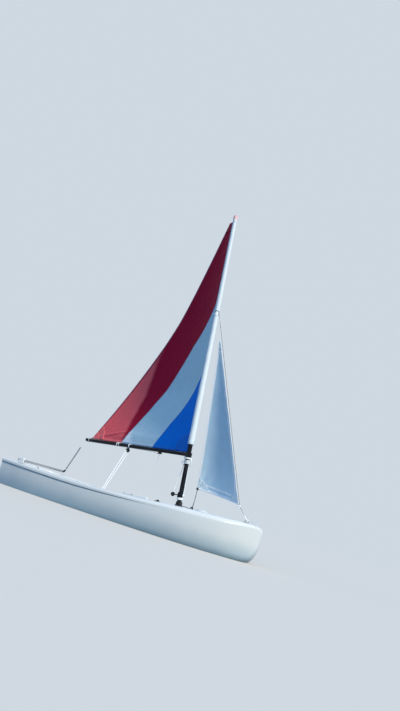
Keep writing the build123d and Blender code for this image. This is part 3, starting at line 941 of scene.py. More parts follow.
@dataclass
class Hull:
    """The moulded hull: topsides, bilge and bottom from a table of stations, a cambered deck round a
    cockpit with a rolled rim, the daggerboard's case, and the holes for board, mast and drains."""

    frames: Frames
    white: Material
    tread: Material
    step: float = 0.026
    lip_depth: float = 34 / 12
    shoulder_inset: float = 0.008
    flush_lip: float = 0.004
    full_lip: float = 0.011
    floor: float = 0.130
    well_aft: float = -1.330
    well_front: float = 0.330
    well_waist: float = -0.300
    well_corner: float = 0.090
    spine_inset: float = 0.30
    rim: float = 0.008
    cove: float = 0.024
    foot_grow: float = -0.025
    wall_slope: float = 0.039 / 0.290
    near_grow: float = -0.049
    far_grow: float = 0.018
    nose_points: int = 7
    nose_round: float = 0.004
    tread_x: tuple[float, float] = (-1.05, 0.30)
    tread_y: float = 0.45
    tread_rings: tuple[int, int] = (6, 19)
    floor_rings: tuple[int, int] = (-10, -3)
    board_x: float = 0.012
    case_half: tuple[float, float] = (0.180, 0.060)
    case_corner: float = 0.045
    case_foot: float = 0.105
    case_top: float = 0.300
    case_edge: float = 0.008
    slot_half: tuple[float, float] = (0.1335, 0.0165)
    slot_corner: float = 0.014
    mast_hole: float = 0.0262
    mast_depth: float = 0.262
    drains: tuple[Point, ...] = ((-1.4, -0.180, 0.150), (-1.4, 0.180, 0.150))
    drain_hole: float = 0.018

    def stations(self) -> Array:
        """Gives the hull's stations, by a Catmull-Rom curve through each column of the table.

        Returns:
            Rows of x, half beam, chine half beam, chine z, keel z, bilge radius, bulge of the topside,
            deck edge z, lip out, drop from the deck's edge to the lip, and camber, in metres.
        """
        table = np.array([
            (-1475, 487, 450, 0, -32, 130, 8, 380, 12, 1.5, 12),
            (-1030, 560, 520, -22, -62, 150, 8, 352, 12, 1.5, 13),
            (-440, 599, 556, -38, -88, 170, 10, 324, 12, 2, 13),
            (150, 602, 552, -44, -98, 180, 20, 324, 9, 14, 13),
            (590, 569, 508, -44, -98, 180, 32, 342, 4, 38, 12),
            (885, 507, 440, -40, -90, 170, 34, 350, 2.5, 46, 11),
            (1120, 414, 345, -32, -74, 150, 30, 353, 2, 44, 9),
            (1290, 306, 240, -18, -48, 110, 22, 356, 2, 36, 7),
            (1390, 208, 150, 8, -14, 70, 14, 354, 2, 26, 5),
            (1440, 142, 95, 62, 45, 40, 9, 347, 2, 18, 4),
            (1466, 89, 58, 140, 128, 22, 5, 330, 2, 12, 3),
            (1477, 40, 26, 222, 214, 8, 2, 296, 1.5, 6, 2),
        ]) / 1000
        padded = np.concatenate([table[:1], table, table[-1:]])
        return catmull_rom(padded, np.maximum(4, np.ceil(np.diff(table[:, 0]) / self.step).astype(int)))

    def side(self, rows: Array) -> Array:
        """Draws the port half of each section: a straight bottom from the keel, an arc round the bilge,
        a topside on the arc that leaves the bilge smoothly, a rolled lip whose outline is given in lip
        widths, and a shoulder on the arc that meets the deck level.

        Args:
            rows: Stations.

        Returns:
            Points, stations by points by 3, in the deck frame.
        """
        x, half, chine_y, chine_z, keel, radius, bulge, top, lip, drop, _ = rows.T
        side_top = top - drop - lip * self.lip_depth
        keel_point, high_point = joined(0.0, keel), joined(half, side_top)
        outward = joined(half + bulge, side_top)
        arc = fillet_arc(joined(chine_y, chine_z), keel_point, outward, radius, 18)
        bottom = between(keel_point[:, None], arc[:, :1], np.linspace(0.0, 1.0, 10, endpoint=False)[:, None])
        tangent = unit(outward - arc[:, -1])
        inward = joined(-tangent[:, 1], tangent[:, 0])
        chord = high_point - arc[:, -1]
        turn = 2 * np.arctan2((chord * inward).sum(axis=1), (chord * tangent).sum(axis=1))
        bend = np.linalg.norm(chord, axis=1) / (2 * np.sin(turn / 2))
        swing = (turn[:, None] * np.linspace(0.0, 1.0, 20)[1:])[..., None]
        rolled = np.sin(swing) * tangent[:, None] + (1 - np.cos(swing)) * inward[:, None]
        topside = arc[:, -1:] + bend[:, None, None] * rolled
        roll = np.array([
            (0.28, 0.05), (0.62, 0.16), (0.86, 0.34), (0.97, 0.58), (1.0, 0.90), (1.0, 1.45), (1.0, 1.95),
            (0.97, 2.28), (0.89, 2.54), (0.76, 2.72), (0.64, 2.80), (0.5, self.lip_depth),
        ])
        share = np.clip((lip - self.flush_lip) / (self.full_lip - self.flush_lip), 0, 1)
        proud = lip * share**2 * (3 - 2 * share)
        lips = high_point[:, None] + roll[None] * joined(proud, lip)[:, None]
        edge = self.deck_edge(rows)
        inset = half + proud / 2 - edge
        curve = ((inset**2 + drop**2) / (2 * drop))[:, None]
        swing = np.arcsin(inset[:, None] / curve) * np.linspace(1.0, 0.0, 14)[1:]
        shoulder = joined(edge[:, None] + curve * np.sin(swing), top[:, None] - curve * (1 - np.cos(swing)))
        flat = np.concatenate([bottom, arc, topside, lips, shoulder], axis=1)
        return joined(x[:, None], flat[..., 0], flat[..., 1])

    def deck_edge(self, rows: Array) -> Array:
        """Gives the deck's half width, inside the shoulder that rolls down to the lip."""
        return rows[:, 1] - self.shoulder_inset - rows[:, 9]

    def deck_height(self, rows: Array, x: Array | float, y: Array | float) -> Array:
        """Gives the deck's height: its edge's plus the camber times 1 - (y / half width) squared.

        Args:
            rows: The hull's stations.
            x: The places' distances forward.
            y: Their distances to port.

        Returns:
            The heights.
        """
        columns = self.deck_edge(rows), rows[:, 7], rows[:, 10]
        width, top, camber = (np.interp(x, rows[:, 0], values) for values in columns)
        return top + camber * (1 - (y / width) ** 2)

    def deck_at(self, x: float, y: float) -> float:
        """Gives the deck's height at one place."""
        return float(self.deck_height(self.stations(), x, y))

    def reach(self, spine: Array, way: Array, grow: float) -> Array:
        """Measures from the cockpit's middle line to its six-sided outline with rounded corners.

        Args:
            spine: Points on the middle line, n by 2.
            way: A unit direction from each.
            grow: How much larger the outline is than at the reference height.

        Returns:
            The distances.
        """
        half = np.array([(self.well_aft - grow, -0.300 - grow), (self.well_waist, -0.415 - grow),
                         (self.well_front + grow, -0.365 - grow)])
        outline = rounded(np.concatenate([half, half[::-1] * (1, -1)]), self.well_corner + grow, 14)
        edge = (np.roll(outline, -1, axis=0) - outline)[None]
        gap = outline[None] - spine[:, None]
        cross = way[:, None, 0] * edge[..., 1] - way[:, None, 1] * edge[..., 0]
        cross = np.where(np.abs(cross) < 1e-12, 1e-12, cross)
        far = (gap[..., 0] * edge[..., 1] - gap[..., 1] * edge[..., 0]) / cross
        part = (gap[..., 0] * way[:, None, 1] - gap[..., 1] * way[:, None, 0]) / cross
        hit = (part >= -1e-9) & (part <= 1 + 1e-9) & (far > 0)
        return np.where(hit, far, np.inf).min(axis=1)

    def rim_loop(self, rows: Array) -> Array:
        """Walks round the deck's edge: starboard to the bow, across the nose, port aft, across the stern.

        Args:
            rows: The hull's stations.

        Returns:
            The loop's points, n by 2; the last is the first again.
        """
        edge = joined(rows[:, 0], self.deck_edge(rows))
        nose = joined(edge[-1, 0], np.linspace(-edge[-1, 1], edge[-1, 1], self.nose_points + 2)[1:-1])
        stern = joined(edge[0, 0], np.linspace(edge[0, 1], -edge[0, 1], 40)[1:-1])
        return np.concatenate([edge * (1, -1), nose, edge[::-1], stern, edge[:1] * (1, -1)])

    def deck_and_well(self, skin: Skin, rows: Array) -> None:
        """Adds the deck, the cockpit's rim, walls and floor as one ring grid whose lines run from the
        deck's edge to the cockpit's middle line.

        Args:
            skin: The mesh to add to.
            rows: The hull's stations.
        """
        loop = self.rim_loop(rows)
        ends = self.well_aft + self.spine_inset, self.well_front - self.spine_inset
        spine = joined(np.clip(loop[:, 0], *ends), 0.0)
        way = unit(loop - spine)
        near, far = (self.reach(spine, way, grow) for grow in (self.near_grow, self.far_grow))

        def on_deck(flat: Array) -> Array:
            """Lifts flat points onto the deck."""
            return joined(*flat.T, self.deck_height(rows, *flat.T))

        def ring(grow: Array | float) -> Array:
            """Draws the cockpit's outline at a growth."""
            part = (grow - self.near_grow) / (self.far_grow - self.near_grow)
            return spine + way * (near + (far - near) * part)[:, None]

        rim_height = on_deck(ring(np.zeros(len(loop))))[:, 2]
        top_grow = self.foot_grow + self.wall_slope * (rim_height - self.floor)
        inner = on_deck(ring(top_grow + self.rim))
        lines = [on_deck(between(loop, inner[:, :2], t)) for t in np.linspace(0.0, 1.0, 26)]
        for a in np.linspace(0.0, QUARTER, 6)[1:]:
            flat = ring(top_grow + self.rim * (1 - math.sin(a)))
            lines.append(joined(*flat.T, inner[:, 2] - self.rim * (1 - math.cos(a))))
        start = lines[-1][:, 2]
        for t in np.linspace(0.0, 1.0, 12)[1:]:
            height = start + (self.floor + self.cove - start) * t
            lines.append(joined(*ring(self.foot_grow + self.wall_slope * (height - self.floor)).T, height))
        for a in np.linspace(0.0, QUARTER, 7)[1:]:
            rise = self.cove * (1 - math.sin(a))
            grow = self.foot_grow + self.wall_slope * rise - self.cove * (1 - math.cos(a))
            lines.append(joined(*ring(np.full(len(loop), grow)).T, self.floor + rise))
        foot = lines[-1][:, :2]
        lines += [joined(*between(foot, spine, t).T, self.floor) for t in np.linspace(0.0, 1.0, 12)[1:]]
        grid = np.stack(lines)
        marks = np.zeros((len(grid) - 1, len(loop) - 1), int)
        x, y = loop[:-1].T
        on_side = (x > self.tread_x[0]) & (x < self.tread_x[1]) & (np.abs(y) > self.tread_y)
        marks[slice(*self.tread_rings), on_side] = 1
        marks[slice(*self.floor_rings), :] = 1
        skin.grid(place(self.frames.deck, grid), slot=marks)

    def ends(self, skin: Skin, rows: Array, sides: Array) -> None:
        """Closes the stern flat and the nose with a small round.

        Args:
            skin: The mesh to add to.
            rows: The hull's stations.
            sides: The port half of each section.
        """
        loop = self.rim_loop(rows)
        count = len(rows)
        stern, nose = loop[2 * count + self.nose_points:-1], loop[count:count + self.nose_points][::-1]
        part = np.linspace(0.0, 1.0, 8)[:, None, None]
        for end, out, deck in ((0, 0.0, stern), (-1, self.nose_round, nose)):
            half = sides[end]
            deck = joined(*deck.T, self.deck_height(rows, *deck.T))
            ring = np.concatenate([half, deck, (half * (1, -1, 1))[::-1]])
            grid = between(ring[None], ring.mean(axis=0), part)
            grid = grid + np.array([out, 0.0, 0.0]) * np.sin(part * QUARTER)
            skin.grid(place(self.frames.deck, grid))

    def build(self) -> None:
        """Makes the hull and cuts its holes."""
        rows = self.stations()
        sides = self.side(rows)
        skin = Skin()
        skin.grid(place(self.frames.deck, sides))
        skin.grid(place(self.frames.deck, sides * (1, -1, 1)))
        self.deck_and_well(skin, rows)
        self.ends(skin, rows, sides)
        hull = skin.build("hull_skin", [self.white, self.tread], outward=True)
        board = self.frames.deck @ moved(self.board_x, 0, 0)
        box = np.array([(-1.0, -1.0), (1.0, -1.0), (1.0, 1.0), (-1.0, 1.0)])
        disc = joined(np.cos(circle(48)), np.sin(circle(48)))[:-1]
        case = rounded(box * self.case_half, self.case_corner)
        slot = rounded(box * self.slot_half, self.slot_corner)
        drains = [self.frames.deck @ moved(*spot) @ turned("y", 90) for spot in self.drains]
        for way, outline, low, high, matrix, edge in (
            ("UNION", case, self.case_foot, self.case_top, board, self.case_edge),
            ("DIFFERENCE", slot, -0.3, 0.6, board, 0.0),
            ("DIFFERENCE", disc * self.mast_hole, -self.mast_depth, 0.3, self.frames.mast, 0.0),
            *(("DIFFERENCE", disc * self.drain_hole, -0.2, 0.2, drain, 0.0) for drain in drains),
        ):
            combined(hull, prism(outline, low, high, matrix, self.white, edge), way)
        smoothed(hull.data, 38)
        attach(hull, "boat")
        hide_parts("hull")
        LOG.info("hull_skin: %d faces", len(hull.data.polygons))


# Sails


def spread(start: Array, end: Array, columns: int) -> Array:
    """Gives evenly spaced columns between two edges, for each row."""
    return between(start[:, None], end[:, None], np.linspace(0.0, 1.0, columns)[None])


def ripple(values: Array, seed: int, waves: int = 5) -> Array:
    """A smooth random curve from -1 to 1: a sum of sine waves whose lengths and phases are drawn once.

    Args:
        values: Where to read it, in turns of the longest wave.
        seed: The draw's number.
        waves: How many waves are summed.

    Returns:
        The curve's values.
    """
    draw = np.random.default_rng(seed)
    total = np.zeros_like(values)
    for k in range(1, waves + 1):
        total = total + draw.uniform(0.5, 1.0) / k * np.sin(TURN * (values * k + draw.uniform()))
    return total / 1.8


def hump(values: Array, middle: float, width: float) -> Array:
    """A bell curve: e to the power of minus ((value - middle) / width) squared."""
    return np.exp(-((values - middle) / width) ** 2)


@dataclass
class Sail:
    """What the two sails share: rows of cloth, strips of tape over them and corner patches."""

    matrix: Array
    body: str
    thickness: float = 0.0012

    def rows(self, v: Array) -> dict[str, Array]:
        """Gives the rows' arcs; each sail has its own."""
        raise NotImplementedError

    def relief(self, v: Array, u: Array) -> Array:
        """Gives how far the cloth stands off its arc; each sail has its own."""
        raise NotImplementedError

    def surface(self, v: Array, u: Array) -> tuple[Array, Array]:
        """Works out the cloth's points, each row on the circular arc that stands on its chord, and its
        flat pattern.

        Args:
            v: Heights as fractions, one for each row.
            u: Fractions of the chord, rows by columns.

        Returns:
            Points in the row frame, and the distances (along the chord, up) in metres.
        """
        row = self.rows(v)
        chord, depth, along, lee = (row[key] for key in ("chord", "depth", "along", "lee"))
        radius = (chord**2 / 4 + depth**2) / (2 * depth)
        swing = np.arcsin(np.minimum(1.0, chord / 2 / radius))
        centre = row["luff"] + along * (chord / 2)[:, None] - lee * (radius - depth)[:, None]
        angle = swing[:, None] * (2 * u - 1)
        points = centre[:, None] + along[:, None] * (radius[:, None] * np.sin(angle))[..., None]
        points = points + lee[:, None] * (radius[:, None] * np.cos(angle))[..., None]
        points = points + lee[:, None] * self.relief(v, u)[..., None]
        up = np.linalg.norm(row["luff"] - row["luff"][:1], axis=1)
        return place(self.matrix, points), joined(u * chord[:, None], up[:, None])

    def strip(self, name: str, v: Array, start: Array, end: Array, finish: Material,
              thickness: float = 0.0026, columns: int = 4) -> Piece:
        """Lays a tape on the cloth, with its pattern's x along it and y across it from its middle.

        Args:
            name: The piece's name.
            v: Its rows.
            start: Its first edge as a fraction of each row's chord.
            end: Its second edge.
            finish: Its material.
            thickness: Its thickness, through the cloth.
            columns: Points across it.

        Returns:
            The tape, riding with the sail.
        """
        points, _ = self.surface(v, spread(start, end, columns))
        width = np.linalg.norm(points[:, -1] - points[:, 0], axis=1)
        across = np.linspace(-0.5, 0.5, columns)[None] * width[:, None]
        sewing = joined(distances(points.mean(axis=1))[:, None], across)
        return sewn(name, self.body, (points, sewing), finish, thickness)

    def hem(self, name: str, v: Array, start: float, end: float, columns: int, middle: float,
            finish: Material) -> Piece:
        """Lays a hem along the foot between two fractions of the chord, with its pattern along it.

        Args:
            name: The piece's name.
            v: Its rows.
            start: Its first end as a fraction of the chord.
            end: Its second end.
            columns: Points along it.
            middle: The height of its middle on the flat pattern.
            finish: Its material.

        Returns:
            The hem, riding with the sail.
        """
        points, uv = self.surface(v, spread(np.full(len(v), start), np.full(len(v), end), columns))
        return sewn(name, self.body, (points, uv - (0.0, middle)), finish, 0.0026)

    def fan(self, name: str, corner: tuple[float, float], reach: float, turn: tuple[float, float],
            finish: Material, thickness: float = 0.0034) -> Piece:
        """Lays a fan-shaped patch in a corner, given in polar form about it and clipped to the sail.

        Args:
            name: The piece's name.
            corner: The corner's v and u.
            reach: The patch's radius in metres.
            turn: Its first and last angle in degrees, from the chord's aft direction, upwards.
            finish: Its material.
            thickness: Its thickness, through the cloth.

        Returns:
            The patch, riding with the sail.
        """
        angle = np.radians(np.linspace(*turn, 15))[:, None]
        radius = np.linspace(0.0, reach, 15)[None] * (1 - 0.05 * np.cos(angle * 9) ** 2)
        v = np.clip(corner[0] + radius * np.sin(angle) / self.luff, 0, 1)
        chord = self.rows(v.ravel())["chord"].reshape(v.shape)
        home = self.rows(np.array([corner[0]]))["chord"][0] * corner[1]
        flat = home + radius * np.cos(angle)
        points, _ = self.surface(v.ravel(), np.clip(flat / chord, 0.0, 1.0).reshape(-1, 1))
        sewing = joined(flat, radius - reach + 0.008)
        return sewn(name, self.body, (points.reshape(*v.shape, 3), sewing), finish, thickness)


@dataclass
class Mainsail(Sail):
    """The mainsail: red, white and blue cloths sewn along slanting seams, and a sleeve round the mast."""

    foot_height: float = 0.565
    head_height: float = 3.650
    foot: float = 1.868
    head: float = 0.092
    camber: float = 0.080
    rise: float = 2.89
    twist: tuple[float, float, float] = (26.0, 19.3, 7.4)
    stand: float = 7.0
    stand_from: float = 0.57
    stand_over: float = 0.43
    roach: float = 0.108
    roach_from: float = 0.46
    tuck: float = 0.010
    around: int = 64
    head_patch: float = 0.958
    sleeve_foot: float = 0.655
    sleeve_low: float = 0.036
    sleeve_high: float = 0.025
    tail: float = 38.0
    hounds: float = 2.294
    half_window: float = 0.028
    window_turn: float = 16.0
    window_reach: float = 108.0
    seams: tuple[tuple[float, float, float], ...] = (
        (0.0, 0.668, 0.345), (0.104, 0.630, 0.272), (0.195, 0.588, 0.166), (0.352, 0.488, 0.0),
        (0.446, 0.412, 0.0), (0.545, 0.240, 0.0), (0.671, 0.0, 0.0), (1.0, 0.0, 0.0),
    )
    blue_peak: float = 0.352
    white_peak: float = 0.671
    below_foot: float = -0.0016

    @property
    def luff(self) -> float:
        """The luff's length in metres."""
        return self.head_height - self.foot_height

    def rows(self, v: Array) -> dict[str, Array]:
        """Gives each row's arc: the chord turns to leeward and shortens with height, and the depth
        fades at the foot and towards the head.

        Args:
            v: Heights as fractions of the luff.

        Returns:
            The rows' luff points, directions, chords and depths.
        """
        turn = np.radians(self.twist[0] + self.twist[1] * v + self.twist[2] * v**2)
        turn = turn - np.radians(self.stand) * np.clip((v - self.stand_from) / self.stand_over, 0, 1) ** 1.3
        rise = np.radians(self.rise * (1 - v))
        chord = self.foot + (self.head - self.foot) * v
        return {
            "luff": joined(0.0, 0.0, self.foot_height + v * self.luff),
            "along": joined(-np.cos(turn) * np.cos(rise), np.sin(turn) * np.cos(rise), np.sin(rise)),
            "lee": joined(np.sin(turn), np.cos(turn), 0.0),
            "chord": chord,
            "depth": chord * self.camber * np.clip(v / 0.25, 0.15, 1.0) * (1 - 0.4 * v),
        }

    def relief(self, v: Array, u: Array) -> Array:
        """Gives the cloth's wrinkles: a fan out of the clew, puckers at the sleeve, hollows between
        them along the foot, a slow unevenness, and creases that the outhaul pulls along the foot; none
        of them at the foot itself.

        Args:
            v: Heights, one for each row.
            u: Fractions of the chord.

        Returns:
            Metres to leeward for each point.
        """
        aft, up = u * self.rows(v)["chord"][:, None], (v * self.luff)[:, None]
        away = np.hypot(self.foot - aft, up) + 1e-6
        angle = np.arctan2(up, self.foot - aft)
        fan = np.sin(angle * 17 + 3 * ripple(angle, 3)) * hump(away, 0.30, 0.30) * 0.0042
        pucker = ripple(up / 0.62 + 0.12 * u, 5, 4) * np.exp(-aft / 0.16) * 0.0035
        foot = ripple(aft / 0.9 + up * 0.8, 8, 4) * np.exp(-up / 0.10) * np.clip(up / 0.02, 0, 1) * 0.004
        slow = np.sin(aft * 4.1 + up * 1.7) * np.sin(up * 2.3 + 1.0) * 0.004
        rise = up - 0.10 * np.clip((self.foot - aft) / 0.55, 0, 1) ** 1.5
        pull = np.sin(TURN * rise / 0.062) * hump(rise, 0.035, 0.06) * hump(aft, 1.42, 0.26) * 0.0070
        return (fan + pucker + foot + slow + pull) * np.clip(up / 0.03, 0, 1)

    def across(self, v: Array, metres: Array | float) -> Array:
        """Turns a width in metres into a fraction of each row's chord."""
        return metres / self.rows(v)["chord"]

    def luff_start(self, v: Array) -> Array:
        """Gives the chord fraction at which the cloth starts, tucked some way into the sleeve."""
        return self.across(v, self.sleeve_radius(self.foot_height + v * self.luff) - self.tuck)

    def leech_edge(self, v: Array) -> Array:
        """Gives the chord fraction of the leech, rounded out above its middle: roach t^1.3 (1 - 0.82 t^2)."""
        t = np.clip((v - self.roach_from) / (1 - self.roach_from), 0, 1)
        return 1 + self.across(v, self.roach * t**1.3 * (1 - 0.82 * t**2))

    def sleeve_radius(self, s: Array) -> Array:
        """Gives the sleeve's radius at a height on the mast."""
        return self.sleeve_low + (self.sleeve_high - self.sleeve_low) * (s - self.foot_height) / self.luff

    def seam(self, column: int, v: Array) -> Array:
        """Reads a seam from the table, no nearer the luff than the cloth's edge."""
        table = np.array(self.seams)
        return np.maximum(np.interp(v, table[:, 0], table[:, column]), self.luff_start(v))

    def sleeve(self, finish: Material) -> Piece:
        """Makes the sleeve, a circle whose aft quarter runs out along its tangents to a point.

        Args:
            finish: Its material.

        Returns:
            The sleeve, open in front of the hounds.
        """
        low, high = self.hounds - self.half_window, self.hounds + self.half_window
        marks = (self.sleeve_foot, low, high, self.head_height)
        parts = [np.linspace(a, b, n, endpoint=False) for a, b, n in zip(marks, marks[1:], (150, 6, 125))]
        s = np.concatenate([*parts, marks[-1:]])
        turns = circle(self.around)
        middle = turns[:-1] + math.pi / self.around - math.pi - math.radians(self.window_turn)
        front = np.abs(middle) < math.radians(self.window_reach)
        rows = (s[:-1] > low - 1e-6) & (s[:-1] < high - 1e-6)
        window = rows[:, None] & front[None]
        return sewn("sail_sleeve", self.body, self.sleeve_grid(s, turns), finish, 0.0014, 50, keep=~window)

    def sleeve_grid(self, s: Array, angle: Array) -> tuple[Array, Array]:
        """Works out points on the sleeve.

        Args:
            s: Heights on the mast.
            angle: Angles round it from its aft edge.

        Returns:
            Points in the row frame and their flat pattern in metres.
        """
        back = unit(self.rows((s - self.foot_height) / self.luff)["along"] * (1, 1, 0))[:, None]
        side = joined(-back[..., 1], back[..., 0], 0.0)
        radius, height, angle = self.sleeve_radius(s)[:, None], s[:, None], angle[None]
        turn = np.minimum(angle, TURN - angle)
        tail = np.cos(np.maximum(0.0, math.radians(self.tail) - turn))
        pucker = ripple(height / 0.7 + 0.10 * np.cos(angle), 11, 6) * 0.0011
        slant = np.sin(TURN * (height / 0.19) + 3 * np.cos(angle)) * 0.0006
        reach = radius / tail + pucker + slant - 0.0012
        out = np.cos(angle)[..., None] * back + np.sin(angle)[..., None] * side
        grid = out * reach[..., None] + joined(0.0, 0.0, height)
        return place(self.matrix, grid), joined(angle * radius, height)

    def build(self, red: Sailcloth, white: Sailcloth, blue: Sailcloth, luff: Sailcloth) -> None:
        """Args:
            red: The leech cloth's finish.
            white: The middle cloth's finish.
            blue: The tack cloth's finish.
            luff: The sleeve's finish.
        """
        tape = {name: Tape("tape_" + name, color, thread).material() for name, color, thread in (
            ("pale", (0.42, 0.49, 0.55), (0.60, 0.64, 0.66)),
            ("red", (0.37, 0.012, 0.040), (0.50, 0.12, 0.15)),
            ("pink", (0.70, 0.28, 0.31), (0.75, 0.50, 0.54)),
            # painted sunlight: the clew patches and red foot tape lie in the red cloth's painted sunlit part
            # and take its lit colour
            ("clew", (0.94, 0.17, 0.16), (0.80, 0.14, 0.14)),
            ("blue", (0.005, 0.15, 0.56), (0.05, 0.23, 0.62)),
            ("white", (0.58, 0.67, 0.73), (0.48, 0.54, 0.60)),
            ("bright", (0.70, 0.74, 0.76), (0.62, 0.66, 0.70)),
            # dark: painted shade, for the shadow line along the sleeve's seam
            ("dark", (0.10, 0.13, 0.17), (0.35, 0.38, 0.42)),
        )}
        v_blue = np.concatenate([[self.below_foot], np.linspace(0.0, self.blue_peak, 72)])
        v_white = np.concatenate([v_blue, np.linspace(self.blue_peak, self.white_peak, 60)[1:]])
        v_red = np.concatenate([v_white, np.linspace(self.white_peak, 1.0, 72)[1:]])
        red_seam, blue_seam, edge = self.seam(1, v_white), self.seam(2, v_blue), self.leech_edge(v_red)
        cloths = [
            ("red", v_red, self.seam(1, v_red), edge, 64, red),
            ("white", v_white, self.seam(2, v_white), red_seam, 50, white),
            ("blue", v_blue, self.luff_start(v_blue), blue_seam, 36, blue),
        ]
        pieces = []
        for name, v, start, end, columns, cloth in cloths:
            grid = self.surface(v, spread(start, end, columns))
            pieces.append(sewn("sail_" + name, self.body, grid, cloth.material(), self.thickness, merge=1e-5))
        sleeve = self.sleeve(luff.material())
        tapes: dict[str, list[Piece]] = {"red": [], "white": [], "blue": [], "sleeve": []}
        v_head, v_under = np.linspace(self.head_patch, 1.0, 8), v_blue[:-1]
        for name, group, v, middle, low, high, color, thickness in (
            ("leech_tape", "red", v_red, edge, -0.012, 0.0012, "pink", 0.0026),
            ("leech_hem", "red", v_red, edge, -0.030, -0.0125, "red", 0.0022),
            ("seam_red", "red", v_white, red_seam, -0.007, 0.007, "pale", 0.0026),
            ("seam_blue", "blue", v_under, blue_seam[:-1], -0.006, 0.006, "blue", 0.0026),
        ):
            start, end = middle + self.across(v, low), middle + self.across(v, high)
            tapes[group].append(self.strip(name, v, start, end, tape[color], thickness))
        for name, group, corner, reach, turn, color, thickness in (
            ("clew_patch", "red", (0.0, 1.0), 0.24, (180, 92), "clew", 0.0034),
            ("clew_patch_inner", "red", (0.0, 1.0), 0.13, (180, 92), "clew", 0.0042),
            ("tack_patch", "blue", (0.0, 0.02), 0.22, (0, 88), "blue", 0.0034),
        ):
            tapes[group].append(self.fan(name, corner, reach, turn, tape[color], thickness))
        v_foot = np.linspace(self.below_foot, 0.009, 4)
        for name, group, start, end, color in (
            ("foot_tape_red", "red", 0.668, 1.0, "clew"),
            ("foot_tape_blue", "blue", 0.024, 0.345, "blue"),
            ("foot_tape_white", "sleeve", 0.345, 0.668, "white"),
        ):
            tapes[group].append(self.hem(name, v_foot, start, end, 90, 0.014, tape[color]))
        start, end = self.luff_start(v_head), self.leech_edge(v_head)
        tapes["red"].append(self.strip("head_patch", v_head, start, end, tape["red"], 0.0036))
        seam_turn, whole = np.radians(np.linspace(-17, 17, 7)), circle(self.around)
        for name, low, high, count, turns, color in (
            # painted shade: the seam where the cloth leaves the sleeve, dark for the shadow line there
            ("sleeve_seam_shade", self.sleeve_foot + 0.002, self.head_height - 0.002, 220, seam_turn, "dark"),
            ("sleeve_hem_low", self.sleeve_foot - 0.001, self.sleeve_foot + 0.034, 5, whole, "white"),
            ("sleeve_hem_high", self.head_height - 0.034, self.head_height + 0.001, 5, whole, "bright"),
            ("window_hem_low", self.hounds - 0.042, self.hounds - 0.0275, 3, whole, "white"),
            ("window_hem_high", self.hounds + 0.0275, self.hounds + 0.042, 3, whole, "white"),
        ):
            points, uv = self.sleeve_grid(np.linspace(low, high, count), turns)
            tapes["sleeve"].append(sewn(name, self.body, (points, uv[..., ::-1]), tape[color], 0.0034, 50))
        for piece, (name, v, start, end, _, _) in zip(pieces, cloths):
            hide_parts("mainsail_" + name)
        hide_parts("luff_sleeve")


